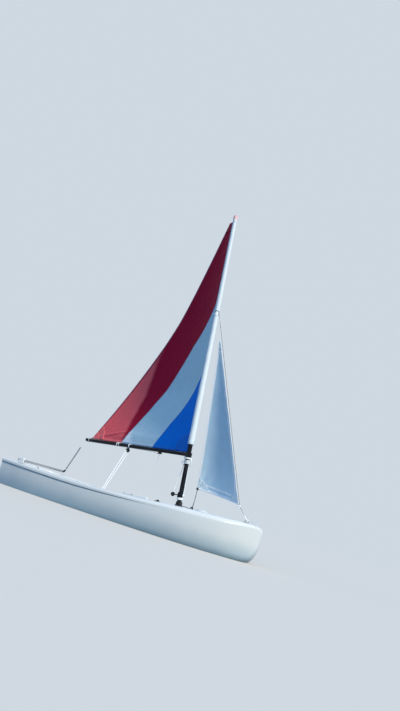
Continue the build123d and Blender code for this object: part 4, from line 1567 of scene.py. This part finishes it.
@dataclass
class Jib(Sail):
    """The jib: one triangle of pale cloth with lighter bands along its three edges."""

    tack: Point = (1.176, 0.0, 0.520)
    peak: Point = (0.516, 0.0, 2.374)
    clew: Point = (0.634, 0.200, 0.588)
    camber: float = 0.07
    top: float = 0.97

    @property
    def luff(self) -> float:
        """The luff's length in metres."""
        return math.dist(self.peak, self.tack)

    def rows(self, v: Array) -> dict[str, Array]:
        """Gives each row's arc, parallel to the foot and shorter with height.

        Args:
            v: Heights as fractions of the luff.

        Returns:
            The rows' luff points, directions, chords and depths.
        """
        tack, peak, clew = (np.array(p) for p in (self.tack, self.peak, self.clew))
        along = unit(clew - tack)
        lee = np.cross(along, unit(peak - tack))
        lee = unit(lee * (1 if lee[1] > 0 else -1))
        chord = math.dist(self.clew, self.tack) * (1 - v)
        ones = np.ones((len(v), 1))
        return {"luff": tack + (peak - tack) * v[:, None], "along": along * ones, "lee": lee * ones,
                "chord": chord, "depth": chord * self.camber}

    def relief(self, v: Array, u: Array) -> Array:
        """Gives the jib's wrinkles: slanting creases off the luff, a fan at the clew, an uneven foot.

        Args:
            v: Heights, one for each row.
            u: Fractions of the chord.

        Returns:
            Metres to leeward for each point.
        """
        foot = math.dist(self.clew, self.tack)
        aft, up = u * self.rows(v)["chord"][:, None], (v * self.luff)[:, None]
        angle = np.arctan2(up, foot - aft + 1e-6)
        fan = np.sin(angle * 14 + 1) * hump(np.hypot(foot - aft, up), 0.18, 0.18) * 0.003
        crease = ripple(up / 0.55 - aft * 0.9, 21, 5) * np.exp(-aft / 0.14) * 0.0028
        slow = np.sin(up * 3.0 + aft * 5.0) * 0.003 * np.sin(math.pi * u)
        return (fan + crease + slow) * np.minimum(1, up / 0.03)

    def build(self, cloth: Sailcloth) -> None:
        """Args:
            cloth: The jib's finish.
        """
        v = np.linspace(0.0, self.top, 150)
        none, whole = np.zeros(150), np.ones(150)
        chord = self.rows(v)["chord"]
        grid = self.surface(v, spread(none, whole, 40))
        sail = sewn("jib_cloth", self.body, grid, cloth.material(), self.thickness)
        pale = Tape("jib_band", (0.86, 0.90, 0.92), (0.70, 0.76, 0.80)).material()
        patch = Tape("jib_patch", (0.62, 0.73, 0.78), (0.74, 0.80, 0.84)).material()
        edge = Tape("jib_edge", (0.80, 0.78, 0.80), (0.70, 0.72, 0.75)).material()
        bands = [
            self.strip("jib_luff_band", v, none - 0.0012 / chord, np.minimum(1, 0.038 / chord), pale),
            self.strip("jib_leech_band", v, 1 - np.minimum(0.5, 0.018 / chord), 1 + 0.0012 / chord, edge),
            self.fan("jib_clew_patch", (0.0, 1.0), 0.15, (180, 112), patch),
            self.fan("jib_tack_patch", (0.0, 0.0), 0.13, (0, 108), patch),
        ]
        for name, low, high in (("jib_foot_band", 0.0, 0.017), ("jib_foot_stripe", 0.032, 0.042)):
            middle = (low + high) / 2 * self.luff
            bands.append(self.hem(name, np.linspace(low, high, 5), 0.0, 1.0, 40, middle, pale))
        tip = np.linspace(self.top - 0.06, self.top, 6)
        bands.append(self.strip("jib_head_patch", tip, none[:6], whole[:6], patch, 0.0036))
        foot_path = self.surface(np.array([0.0045]), np.linspace(0.02, 0.985, 60)[None])[0][0]
        leech_path = self.surface(np.linspace(0.006, self.top - 0.03, 150), whole[:, None])[0][:, 0]
        for name, path, radius in (
            ("jib_foot_roll", foot_path, 0.0075),
            ("jib_leech_roll", leech_path, 0.0042),
        ):
            bands.append(rope(name, np.eye(4), path, radius, pale, 0.02))
            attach(bands[-1], self.body)
        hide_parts("jib")


# Ropes and fittings


def in_order(axis: str, along: Array, one: Array, two: Array) -> Array:
    """Joins a number along the axis "x", "y" or "z" with the two across it."""
    return joined(*{"x": (along, one, two), "y": (one, along, two), "z": (one, two, along)}[axis])


def coil(centre: Point | Array, axis: str, radius: float, pitch: float, turns: float,
         start: float = 0.0) -> Array:
    """Gives a helix's points: centre + radius (cos a, sin a) across the axis + pitch a / turn along it.

    Args:
        centre: Its first point's middle.
        axis: The axis that it climbs.
        radius: Its radius.
        pitch: Its climb for each turn.
        turns: How many turns.
        start: Its first angle in degrees.

    Returns:
        Points, n by 3.
    """
    part = np.linspace(0, turns, max(8, int(turns * 16)) + 1)
    angle = math.radians(start) + TURN * part
    return in_order(axis, pitch * part, radius * np.cos(angle), radius * np.sin(angle)) + np.array(centre)


def ring_grid(matrix: Array, centre: Point | Array, axis: str, radius: float, wire: float) -> Array:
    """Works out a torus: a circle of wire's radius carried round a circle.

    Args:
        matrix: The frame that it is in.
        centre: Its middle.
        axis: The axis through its hole.
        radius: The large circle's radius.
        wire: The small circle's radius.

    Returns:
        The grid, closed both ways.
    """
    big, small = circle(28)[:, None], circle(12)[None]
    out = radius + wire * np.cos(small)
    return place(matrix, in_order(axis, wire * np.sin(small), out * np.cos(big), out * np.sin(big)) + centre)


def dome_grid(matrix: Array, centre: Point, radius: float, height: float) -> Array:
    """Works out a low closed dome on a short foot, whose height falls off towards its rim.

    Args:
        matrix: The frame that it is in.
        centre: The middle of the plane that it stands on.
        radius: Its radius.
        height: Its height.

    Returns:
        The grid.
    """
    angle = circle(16)[None]
    part = np.array([0.0, 1.0, 1.0, 0.92, 0.75, 0.45, 0.0])[:, None] * radius
    level = np.array([0.0, 0.0, 0.0, 0.45, 0.72, 0.94, 1.0])[:, None] * height
    level[:2] = -0.002
    return place(matrix, joined(part * np.cos(angle), part * np.sin(angle), level) + centre)


@dataclass
class Rigging:
    """The boat's taut lines, lashings and rings, from tables of routes."""

    frames: Frames
    hull: Hull
    white: Material
    dark: Material
    steel: Material

    def lay(self, matrix: Array, body: str, spacing: float, table: tuple) -> None:
        """Lays white ropes from a table of their names, routes and radii.

        Args:
            matrix: The frame that the routes are in.
            body: The body that they ride on.
            spacing: The distance between their rings.
            table: The rows.
        """
        for name, points, radius in table:
            piece = rope(name, matrix, points, radius, self.white, spacing)
            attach(piece, body)

    def mast_lines(self) -> None:
        """Makes the lashings under the boom, the downhaul and the lines down the mast."""
        self.lay(self.frames.mast, "boat", 0.012, (
            ("lashing_front", coil((0, 0, 0.430), "z", 0.0295, 0.011, 4.5, 20), 0.0042),
            ("lashing_aft", [(-0.028, 0.010, 0.470), (-0.050, 0.016, 0.462), (-0.060, 0.004, 0.440),
                             (-0.050, -0.010, 0.418), (-0.030, -0.008, 0.428)], 0.0045),
            ("downhaul_fall", [(-0.030, 0.012, 0.448), (-0.052, 0.010, 0.330), (-0.092, 0.004, 0.115),
                               (-0.094, 0.0, 0.088)], 0.0030),
            ("downhaul_tail", [(-0.046, -0.012, 0.424), (-0.062, -0.012, 0.250), (-0.092, -0.006, 0.112),
                               (-0.090, -0.004, 0.092)], 0.0026),
            ("halyard_fall", [(0.030, -0.010, 0.478), (0.031, -0.012, 0.300), (0.034, -0.012, 0.130),
                              (0.032, -0.010, 0.095)], 0.0034),
            ("halyard_knot", coil((0.034, -0.010, 0.082), "z", 0.0070, 0.006, 3.0), 0.0040),
            ("collar_loops", [(0.030, -0.014, 0.492), (0.052, -0.020, 0.470), (0.050, -0.012, 0.430),
                              (0.036, -0.004, 0.412), (0.042, 0.006, 0.440), (0.048, -0.004, 0.478),
                              (0.034, 0.012, 0.486)], 0.0042),
            ("foot_lashing", coil((0, 0, 0.034), "z", 0.0290, 0.0085, 3.0), 0.0040),
            ("collar_lashing", coil((0, 0, 0.4875), "z", 0.0388, 0.0058, 3.0, 200), 0.0034),
        ))

    def wraps(self) -> None:
        """Winds tape round the mast at the hounds and between the sleeve and the cap, each wrap a
        rectangle carried round the mast's axis."""
        tape = Tape("tape_hounds", (0.80, 0.85, 0.88), (0.60, 0.66, 0.70)).material()
        hood = Tape("tape_hood", (0.84, 0.50, 0.50), (0.90, 0.70, 0.70)).material()
        inner, turn = 0.0207, circle(32)[:, None]
        for name, low, high, radius, finish, slot in (
            ("hounds_wrap", 2.256, 2.332, 0.0216, tape, "rope_white"),
            ("masthead_wrap", 3.652, 3.7000, 0.0275, hood, "cap_pink"),
        ):
            out = np.array([inner, radius, radius, inner, inner])[None]
            up = np.array([low, low, high, high, low])[None]
            grid = place(self.frames.mast, joined(out * np.cos(turn), out * np.sin(turn), up))
            flat = joined(turn * radius, up - (low + high) / 2)
            piece = Skin().grid(grid, flat).build(name, [finish], sharp=50, outward=True)
            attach(piece, "boat")

    def boom_lines(self) -> None:
        """Makes the strops that hang the sheet's block on the boom, the outhaul along it, and the
        clew's lashing and ring."""
        boom = self.frames.boom
        self.lay(boom, "boom", 0.008, tuple(
            (name, coil((x, 0, 0), "x", 0.0232, 0.0068, turns, 90), 0.0032) for name, x, turns in
            (("strop_front", -1.045, 2.0), ("strop_aft", -1.290, 2.0), ("strop_end", -1.250, 1.0))))
        corner = Mainsail(self.frames.mast, "boom").surface(np.array([0.006]), np.array([[0.992]]))[0][0, 0]
        clew = place(np.linalg.inv(boom), corner)
        self.lay(boom, "boom", 0.012, (
            ("outhaul_line", [(-0.505, 0.006, -0.0365), (-0.640, 0.012, -0.0250), (-1.0, 0.0135, -0.0205),
                              (-1.5, 0.0135, -0.0205), (-1.930, 0.012, -0.0215), (-1.972, 0.004, -0.020)],
             0.0024),
            ("clew_lashing", [(-1.960, 0.022, -0.004), (-1.930, 0.012, 0.028), clew + (-0.012, 0.0, -0.004),
                              clew + (0.004, -0.006, 0.004), (-1.900, -0.020, 0.016),
                              (-1.905, -0.024, -0.008), (-1.915, 0.0, -0.0245), (-1.920, 0.0235, -0.004),
                              (-1.915, 0.014, 0.021), clew + (0.0, 0.006, 0.0)], 0.0026),
        ))
        torus = ring_grid(boom, clew, "y", 0.011, 0.0024)
        ring = Skin().grid(torus).build("clew_ring", [self.steel], outward=True)
        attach(ring, "boom")

    def mainsheet(self) -> None:
        """Runs the mainsheet's two parts from the boom's block to the block on the cockpit's floor."""
        for name, side in (("mainsheet_fall", -1), ("mainsheet_return", 1)):
            top = place(self.frames.boom, (-1.060, side * 0.020, -0.058))
            foot = place(self.frames.deck, (-0.450, side * 0.021, 0.193))
            piece = rope(name, np.eye(4), np.linspace(top, foot, 12), 0.0050, self.white, 0.03)
            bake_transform(piece)

    def jib_lines(self) -> None:
        """Makes the jib's sheets, its clew knot, the tack's lashing and the halyard."""
        deck = self.frames.deck
        clew = np.array([0.637, 0.197, 0.590])
        lead_z = self.hull.deck_at(0.610, 0.250) + 0.019
        lying = self.hull.deck_at(0.640, 0.0) + 0.007
        for name, *route in (
            ("jib_sheet_port", (0.628, 0.226, 0.475), (0.612, 0.250, lead_z)),
            ("jib_sheet_starboard", (0.640, 0.184, 0.500), (0.644, 0.158, lying + 0.030),
             (0.644, 0.090, lying), (0.636, -0.080, lying), (0.622, -0.190, lying + 0.002),
             (0.612, -0.247, lead_z)),
        ):
            points = smooth_path(np.array([clew, *route]), 0.02)
            piece = rope(name, deck, points, 0.0028, self.dark)
            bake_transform(piece)
        turns = coil(clew - (0, 0, 0.012), "z", 0.0105, 0.008, 3.4)
        knot = rope("jib_clew_knot", deck, turns, 0.0040, self.dark, 0.008)
        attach(knot, "jib")
        bow = self.hull.deck_at(1.293, 0.0)
        self.lay(deck, "boat", 0.01, (
            ("tack_lashing_port", [(1.180, 0.006, 0.520), (1.243, 0.008, 0.446), (1.303, 0.005, bow + 0.021)],
             0.0042),
            ("tack_lashing_starboard", [(1.176, -0.006, 0.516), (1.236, -0.010, 0.444),
                                        (1.306, -0.005, bow + 0.019)], 0.0042),
            ("tack_knot", coil((1.182, 0.0, 0.510), "x", 0.0085, 0.006, 3.0), 0.0036),
            ("bow_knot", coil((1.300, -0.005, bow + 0.024), "y", 0.0115, 0.005, 2.5), 0.0040),
        ))
        head = place(deck, (0.5335, 0.0, 2.3249))
        tang = place(self.frames.mast, (0.040, 0.0, 2.288))
        self.lay(np.eye(4), "boat", 0.012, (("jib_halyard", np.linspace(head, tang, 6), 0.0022),))


@dataclass
class OuthaulTail:
    """The outhaul's free end, which hangs from its exit under the boom."""

    finish: Material
    route: tuple[Point, ...] = (
        (0.0403, 0.2067, 0.8345), (0.0396, 0.2069, 0.8120), (0.0374, 0.2076, 0.7860),
        (0.0362, 0.2090, 0.7570), (0.0370, 0.2106, 0.7270),
    )
    diameter: float = 0.005
    cut_corners: float = 0.0004

    def build(self) -> None:
        curve = bpy.data.curves.new("outhaul_end", "CURVE")
        curve.dimensions = "3D"
        spline = curve.splines.new("NURBS")
        spline.points.add(len(self.route) - 1)
        for point, spot in zip(spline.points, self.route):
            point.co = (*spot, 1.0)
        spline.order_u = 3
        spline.use_endpoint_u = True
        curve.bevel_depth = self.diameter / 2
        curve.bevel_resolution = 3
        curve.resolution_u = 12
        curve.use_fill_caps = True
        curve.materials.append(self.finish)
        tail = linked("outhaul_end", curve)
        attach(tail, "boom")
        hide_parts("outhaul_tail")


@dataclass
class ToeStrap:
    """A webbing strap held up off the cockpit's floor by a turned-down end at each anchor."""

    frames: Frames
    finish: Material
    aft: float = -1.000
    front: float = -0.240
    width: float = 0.048
    low: float = 0.132
    high: float = 0.182
    bend: float = 0.010
    sag: float = 0.004
    crown: float = 0.0015
    thickness: float = 0.0035

    def build(self, name: str, y: float) -> None:
        """Makes the strap at one side.

        Args:
            name: The CAD node that it takes the place of.
            y: Its middle, to port.
        """
        corners = np.array([(self.front, self.low), (self.front, self.high), (self.aft, self.high),
                            (self.aft, self.low)])
        bends = fillet_arc(corners[1:3], corners[:2], corners[2:], self.bend, 7).reshape(-1, 2)
        top = between(bends[6], bends[7], np.linspace(0, 1, 40)[1:-1, None])
        path = np.concatenate([corners[:1], bends[:7], top, bends[7:], corners[-1:]])
        x, z = path.T[..., None]
        across = np.linspace(-0.5, 0.5, 9)[None] * self.width
        sag = self.sag * np.sin(np.clip((x - self.aft) / (self.front - self.aft), 0, 1) * math.pi)
        crown = self.crown * np.cos(across / self.width * TURN)
        grid = place(self.frames.deck, joined(x, y + across, z - sag - crown))
        uv = joined(distances(path)[:, None], across)
        piece = sewn(name + "_web", "boat", (grid, uv), self.finish, self.thickness)
        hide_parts(name)


@dataclass
class Fittings:
    """Small hardware from tables, and the finishes of the fittings that stay as they were modelled."""

    frames: Frames
    hull: Hull
    nodes: dict[str, Piece]
    finishes: dict[str, Material]

    def dress(self) -> None:
        """Puts each kept piece's finish into all its slots."""
        for finish, names in (
            ("spar", "mast_lower mast_upper mast_joint forestay"),
            ("spar_boom", "boom"),
            ("black", "mast_base_collar gooseneck_collar downhaul_cleat boom_jaw outhaul_cleat boom_block "
                      "boom_end_cap jib_cleat_starboard jib_cleat_port jib_fairlead_starboard "
                      "jib_fairlead_port floor_block drain_bung"),
            ("pink", "mast_cap"),
            ("steel", "hounds_tang bow_fitting sheet_swivel gudgeon_lower gudgeon_upper pintle_lower "
                      "pintle_upper blade_bolt"),
            ("white", "bow_handle rudder_stock deck_hatch"),
            ("pad", "quarter_pad_starboard quarter_pad_port"),
            ("foil", "daggerboard daggerboard_head rudder_blade"),
            ("alloy", "tiller tiller_extension"),
            ("rubber", "extension_joint"),
        ):
            for name in names.split():
                for slot in self.nodes[name].material_slots:
                    slot.material = self.finishes[finish]
                smoothed(self.nodes[name].data, 32)

    def screws(self) -> None:
        """Sets domed screw heads on the deck's fittings, from a table of each plate's place, the height
        of its top, the heads' radius and their places on it."""
        skin = Skin()
        for x, y, rise, radius, spots in (
            (0.400, 0.330, 0.0055, 0.0045, ((-0.024, 0.0),)),
            (0.610, 0.250, 0.0040, 0.0040, ((-0.023, 0.0), (0.023, 0.0))),
            (1.293, 0.0, 0.0050, 0.0040, ((-0.027, 0.010), (-0.027, -0.010))),
            (0.800, 0.0, 0.0030, 0.0035, coil((0.0, 0.0, 0.0), "z", 0.066, 0.0, 1.0)[:-1:2, :2]),
        ):
            level = self.hull.deck_at(x, y) + rise
            for dx, dy in spots:
                for side in ((1, -1) if y else (1,)):
                    spot = (x + dx, side * (y + dy), level)
                    skin.grid(dome_grid(self.frames.deck, spot, radius, radius * 0.5))
        piece = skin.build("deck_screws", [self.finishes["steel"]], outward=True)
        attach(piece, "boat")


# Studio


@dataclass
class Studio:
    """A pale floor at the waterline, a soft sun, a bluish fill from all round, and the camera."""

    floor_size: float = 400.0
    sun_way: Color = (0.72, -0.46, 0.52)
    sun_power: float = 3.5
    sun_color: Color = (1.0, 0.95, 0.78)
    sun_angle: float = 9.0
    fill: Color = (0.675, 1.125, 1.925)
    fill_power: float = 0.48
    backdrop: Color = (0.62, 0.69, 0.76)
    floor_color: Color = (0.51, 0.48, 0.43)
    floor_glow: float = 0.17
    bounce: Color = (0.03, 0.09, 0.13)
    eye: Point = (2.3046, -5.5639, 0.3450)
    right: Point = (0.924245, 0.255324, 0.283868)
    down: Point = (0.184334, 0.352694, -0.917403)
    ahead: Point = (-0.334354, 0.900231, 0.278911)
    lens: float = 25.966

    def seen_or(self, g: Graph, seen: bpy.types.Node, other: bpy.types.Node) -> bpy.types.Node:
        """Gives one shader to rays from the camera, off gloss and through glass, another to the rest.

        Args:
            g: The tree.
            seen: The shader that those rays see.
            other: The shader that lights the boat.

        Returns:
            The node that mixes them.
        """
        path = g.node("LightPath").outputs
        rays = g.math("MAXIMUM", path["Is Camera Ray"], path["Is Glossy Ray"])
        rays = g.math("MAXIMUM", rays, path["Is Transmission Ray"])
        return g.node("MixShader", {0: rays, 1: other.outputs[0], 2: seen.outputs[0]})

    def floor(self) -> None:
        """Lays the floor at the waterline."""
        side = np.array([-0.5, 0.5]) * self.floor_size
        material = bpy.data.materials.new("studio_floor")
        g = Graph.fresh(material)
        pale = g.node("BsdfDiffuse", {"Color": rgba(self.floor_color)})
        glow = g.node("Emission", {"Color": (1.0, 1.0, 1.0, 1.0), "Strength": self.floor_glow})
        lit = g.node("AddShader", {0: pale.outputs[0], 1: glow.outputs[0]})
        bounce = g.node("BsdfDiffuse", {"Color": rgba(self.bounce)})
        g.node("OutputMaterial", {0: self.seen_or(g, lit, bounce).outputs[0]})
        Skin().grid(joined(side[None], side[:, None], 0.0)).build("floor", [material])

    def light(self) -> None:
        """Hangs the sun and fills the sky."""
        lamp = bpy.data.lights.new("sun", "SUN")
        lamp.energy = self.sun_power
        lamp.color = self.sun_color
        lamp.angle = math.radians(self.sun_angle)
        back = unit(np.array(self.sun_way))
        right = unit(np.cross(-back, (0.0, 0.0, 1.0)))
        linked("sun", lamp).matrix_world = self.standing((0.0, 0.0, 5.0), right, np.cross(back, right), back)
        world = bpy.data.worlds.new("sky")
        bpy.context.scene.world = world
        g = Graph.fresh(world)
        seen = g.node("Background", {"Color": rgba(self.backdrop)})
        fill = g.node("Background", {"Color": (*self.fill, 1.0), "Strength": self.fill_power})
        g.node("OutputWorld", {0: self.seen_or(g, seen, fill).outputs[0]})

    def standing(self, where: Point, right: Array, up: Array, back: Array) -> Matrix:
        """Gives the matrix of an object that stands at a place.

        Args:
            where: The place.
            right: The direction of its x.
            up: The direction of its y.
            back: The direction of its z.

        Returns:
            The matrix.
        """
        matrix = np.eye(4)
        matrix[:3] = np.column_stack([right, up, back, where])
        return Matrix(matrix.tolist())

    def camera(self) -> None:
        """Sets the camera as it stood for the photograph, near the water and tilted."""
        lens = bpy.data.cameras.new("camera")
        lens.lens = self.lens
        lens.sensor_width = 36.0
        lens.sensor_fit = "AUTO"
        eye = linked("camera", lens)
        eye.matrix_world = self.standing(self.eye, self.right, -np.array(self.down), -np.array(self.ahead))
        bpy.context.scene.camera = eye

    def build(self) -> None:
        """Sets the stage and the view."""
        self.floor()
        self.light()
        self.camera()
        bpy.context.scene.view_settings.view_transform = "Standard"


def main() -> None:
    """Builds the boat's assemblies in order, then the studio."""
    logging.basicConfig(level=logging.INFO, format="%(name)s: %(message)s")
    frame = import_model()
    frames = Frames()
    shell, coated = (0.66, 0.68, 0.67), (0.006, 0.007, 0.011)
    rope_pale, rope_fleck = (0.90, 0.91, 0.90), (0.45, 0.52, 0.64)
    white = Gelcoat("hull_gelcoat", shell, 0.30, grime_and_shade=0.75).material()
    tread = Gelcoat("hull_tread", shell, 0.55, tread=True).material()
    rope_white = Rope("rope_white_braid", (0.86, 0.87, 0.86), rope_fleck).material()
    rope_dark = Rope("rope_dark_braid", (0.030, 0.034, 0.042), (0.12, 0.14, 0.18)).material()
    finishes = {
        "spar": Spar("spar_mast", coated).material(),
        "spar_boom": Spar("spar_boom", coated, (0.0, 90.0, 26.0)).material(),
        "black": Plastic("black_nylon", (0.010, 0.011, 0.013)).material(),
        "pink": Plastic("cap_plastic", (0.75, 0.36, 0.36), 0.45).material(),
        "steel": Metal("stainless", (0.62, 0.63, 0.64)).material(),
        "white": Plastic("white_plastic", (0.64, 0.67, 0.68), 0.4, 0.1).material(),
        "pad": Plastic("grey_pad", (0.40, 0.43, 0.45), 0.6).material(),
        "foil": Gelcoat("foil_gelcoat", (0.66, 0.68, 0.68), 0.35).material(),
        "alloy": Metal("anodised_tube", (0.55, 0.56, 0.58), 0.34).material(),
        "rubber": Plastic("black_rubber", (0.014, 0.014, 0.015), 0.8, 0.1).material(),
    }
    hull = Hull(frames, white, tread)
    hull.build()
    fittings = Fittings(frames, hull, frame["nodes"], finishes)
    fittings.dress()
    fittings.screws()
    strap = ToeStrap(frames, Webbing("black_webbing", (0.020, 0.021, 0.024)).material())
    strap.build("toe_strap_starboard", -0.105)
    strap.build("toe_strap_port", 0.105)
    LOG.info("hull and fittings are built")
    Mainsail(frames.mast, "boom").build(
        # red cloth: its painted_sunlight is painted sunlight on the lower leech, aft of a line from the foot
        # by the seam up to the leech
        Sailcloth("cloth_red", (0.43, 0.004, 0.031), (0.50, 0.04, 0.08), painted_sunlight=(1.0, 0.135, 0.14),
                  sunlit_from=(1.255, 0.0), fade_to=(1.069, 1.39)),
        # white cloth: the cloth is white; its bluish grey tone is partly painted shade, and its
        # painted_sunlight is a painted sunlit wedge at the foot by the red seam
        Sailcloth("cloth_white", (0.56, 0.71, 0.74), (0.64, 0.76, 0.78), painted_sunlight=(0.98, 0.96, 0.93),
                  sunlit_from=(1.04, 0.0), fade_to=(1.14, 0.22)),
        Sailcloth("cloth_blue", (0.002, 0.19, 0.69), (0.03, 0.26, 0.72)),
        Sailcloth("cloth_sleeve", (0.68, 0.73, 0.75), (0.74, 0.78, 0.80), 0.3),
    )
    Jib(frames.deck, "jib").build(Sailcloth("cloth_jib", (0.54, 0.70, 0.78), (0.61, 0.75, 0.82)))
    LOG.info("sails are built")
    rigging = Rigging(frames, hull, rope_white, rope_dark, finishes["steel"])
    rigging.mast_lines()
    rigging.wraps()
    rigging.boom_lines()
    rigging.mainsheet()
    rigging.jib_lines()
    tail_pattern = (0.108, 0.0157, 1.0)
    OuthaulTail(Rope("outhaul_braid", rope_pale, rope_fleck, pattern=tail_pattern).material()).build()
    LOG.info("rigging is built")
    Studio().build()


if __name__ == "__main__":
    main()
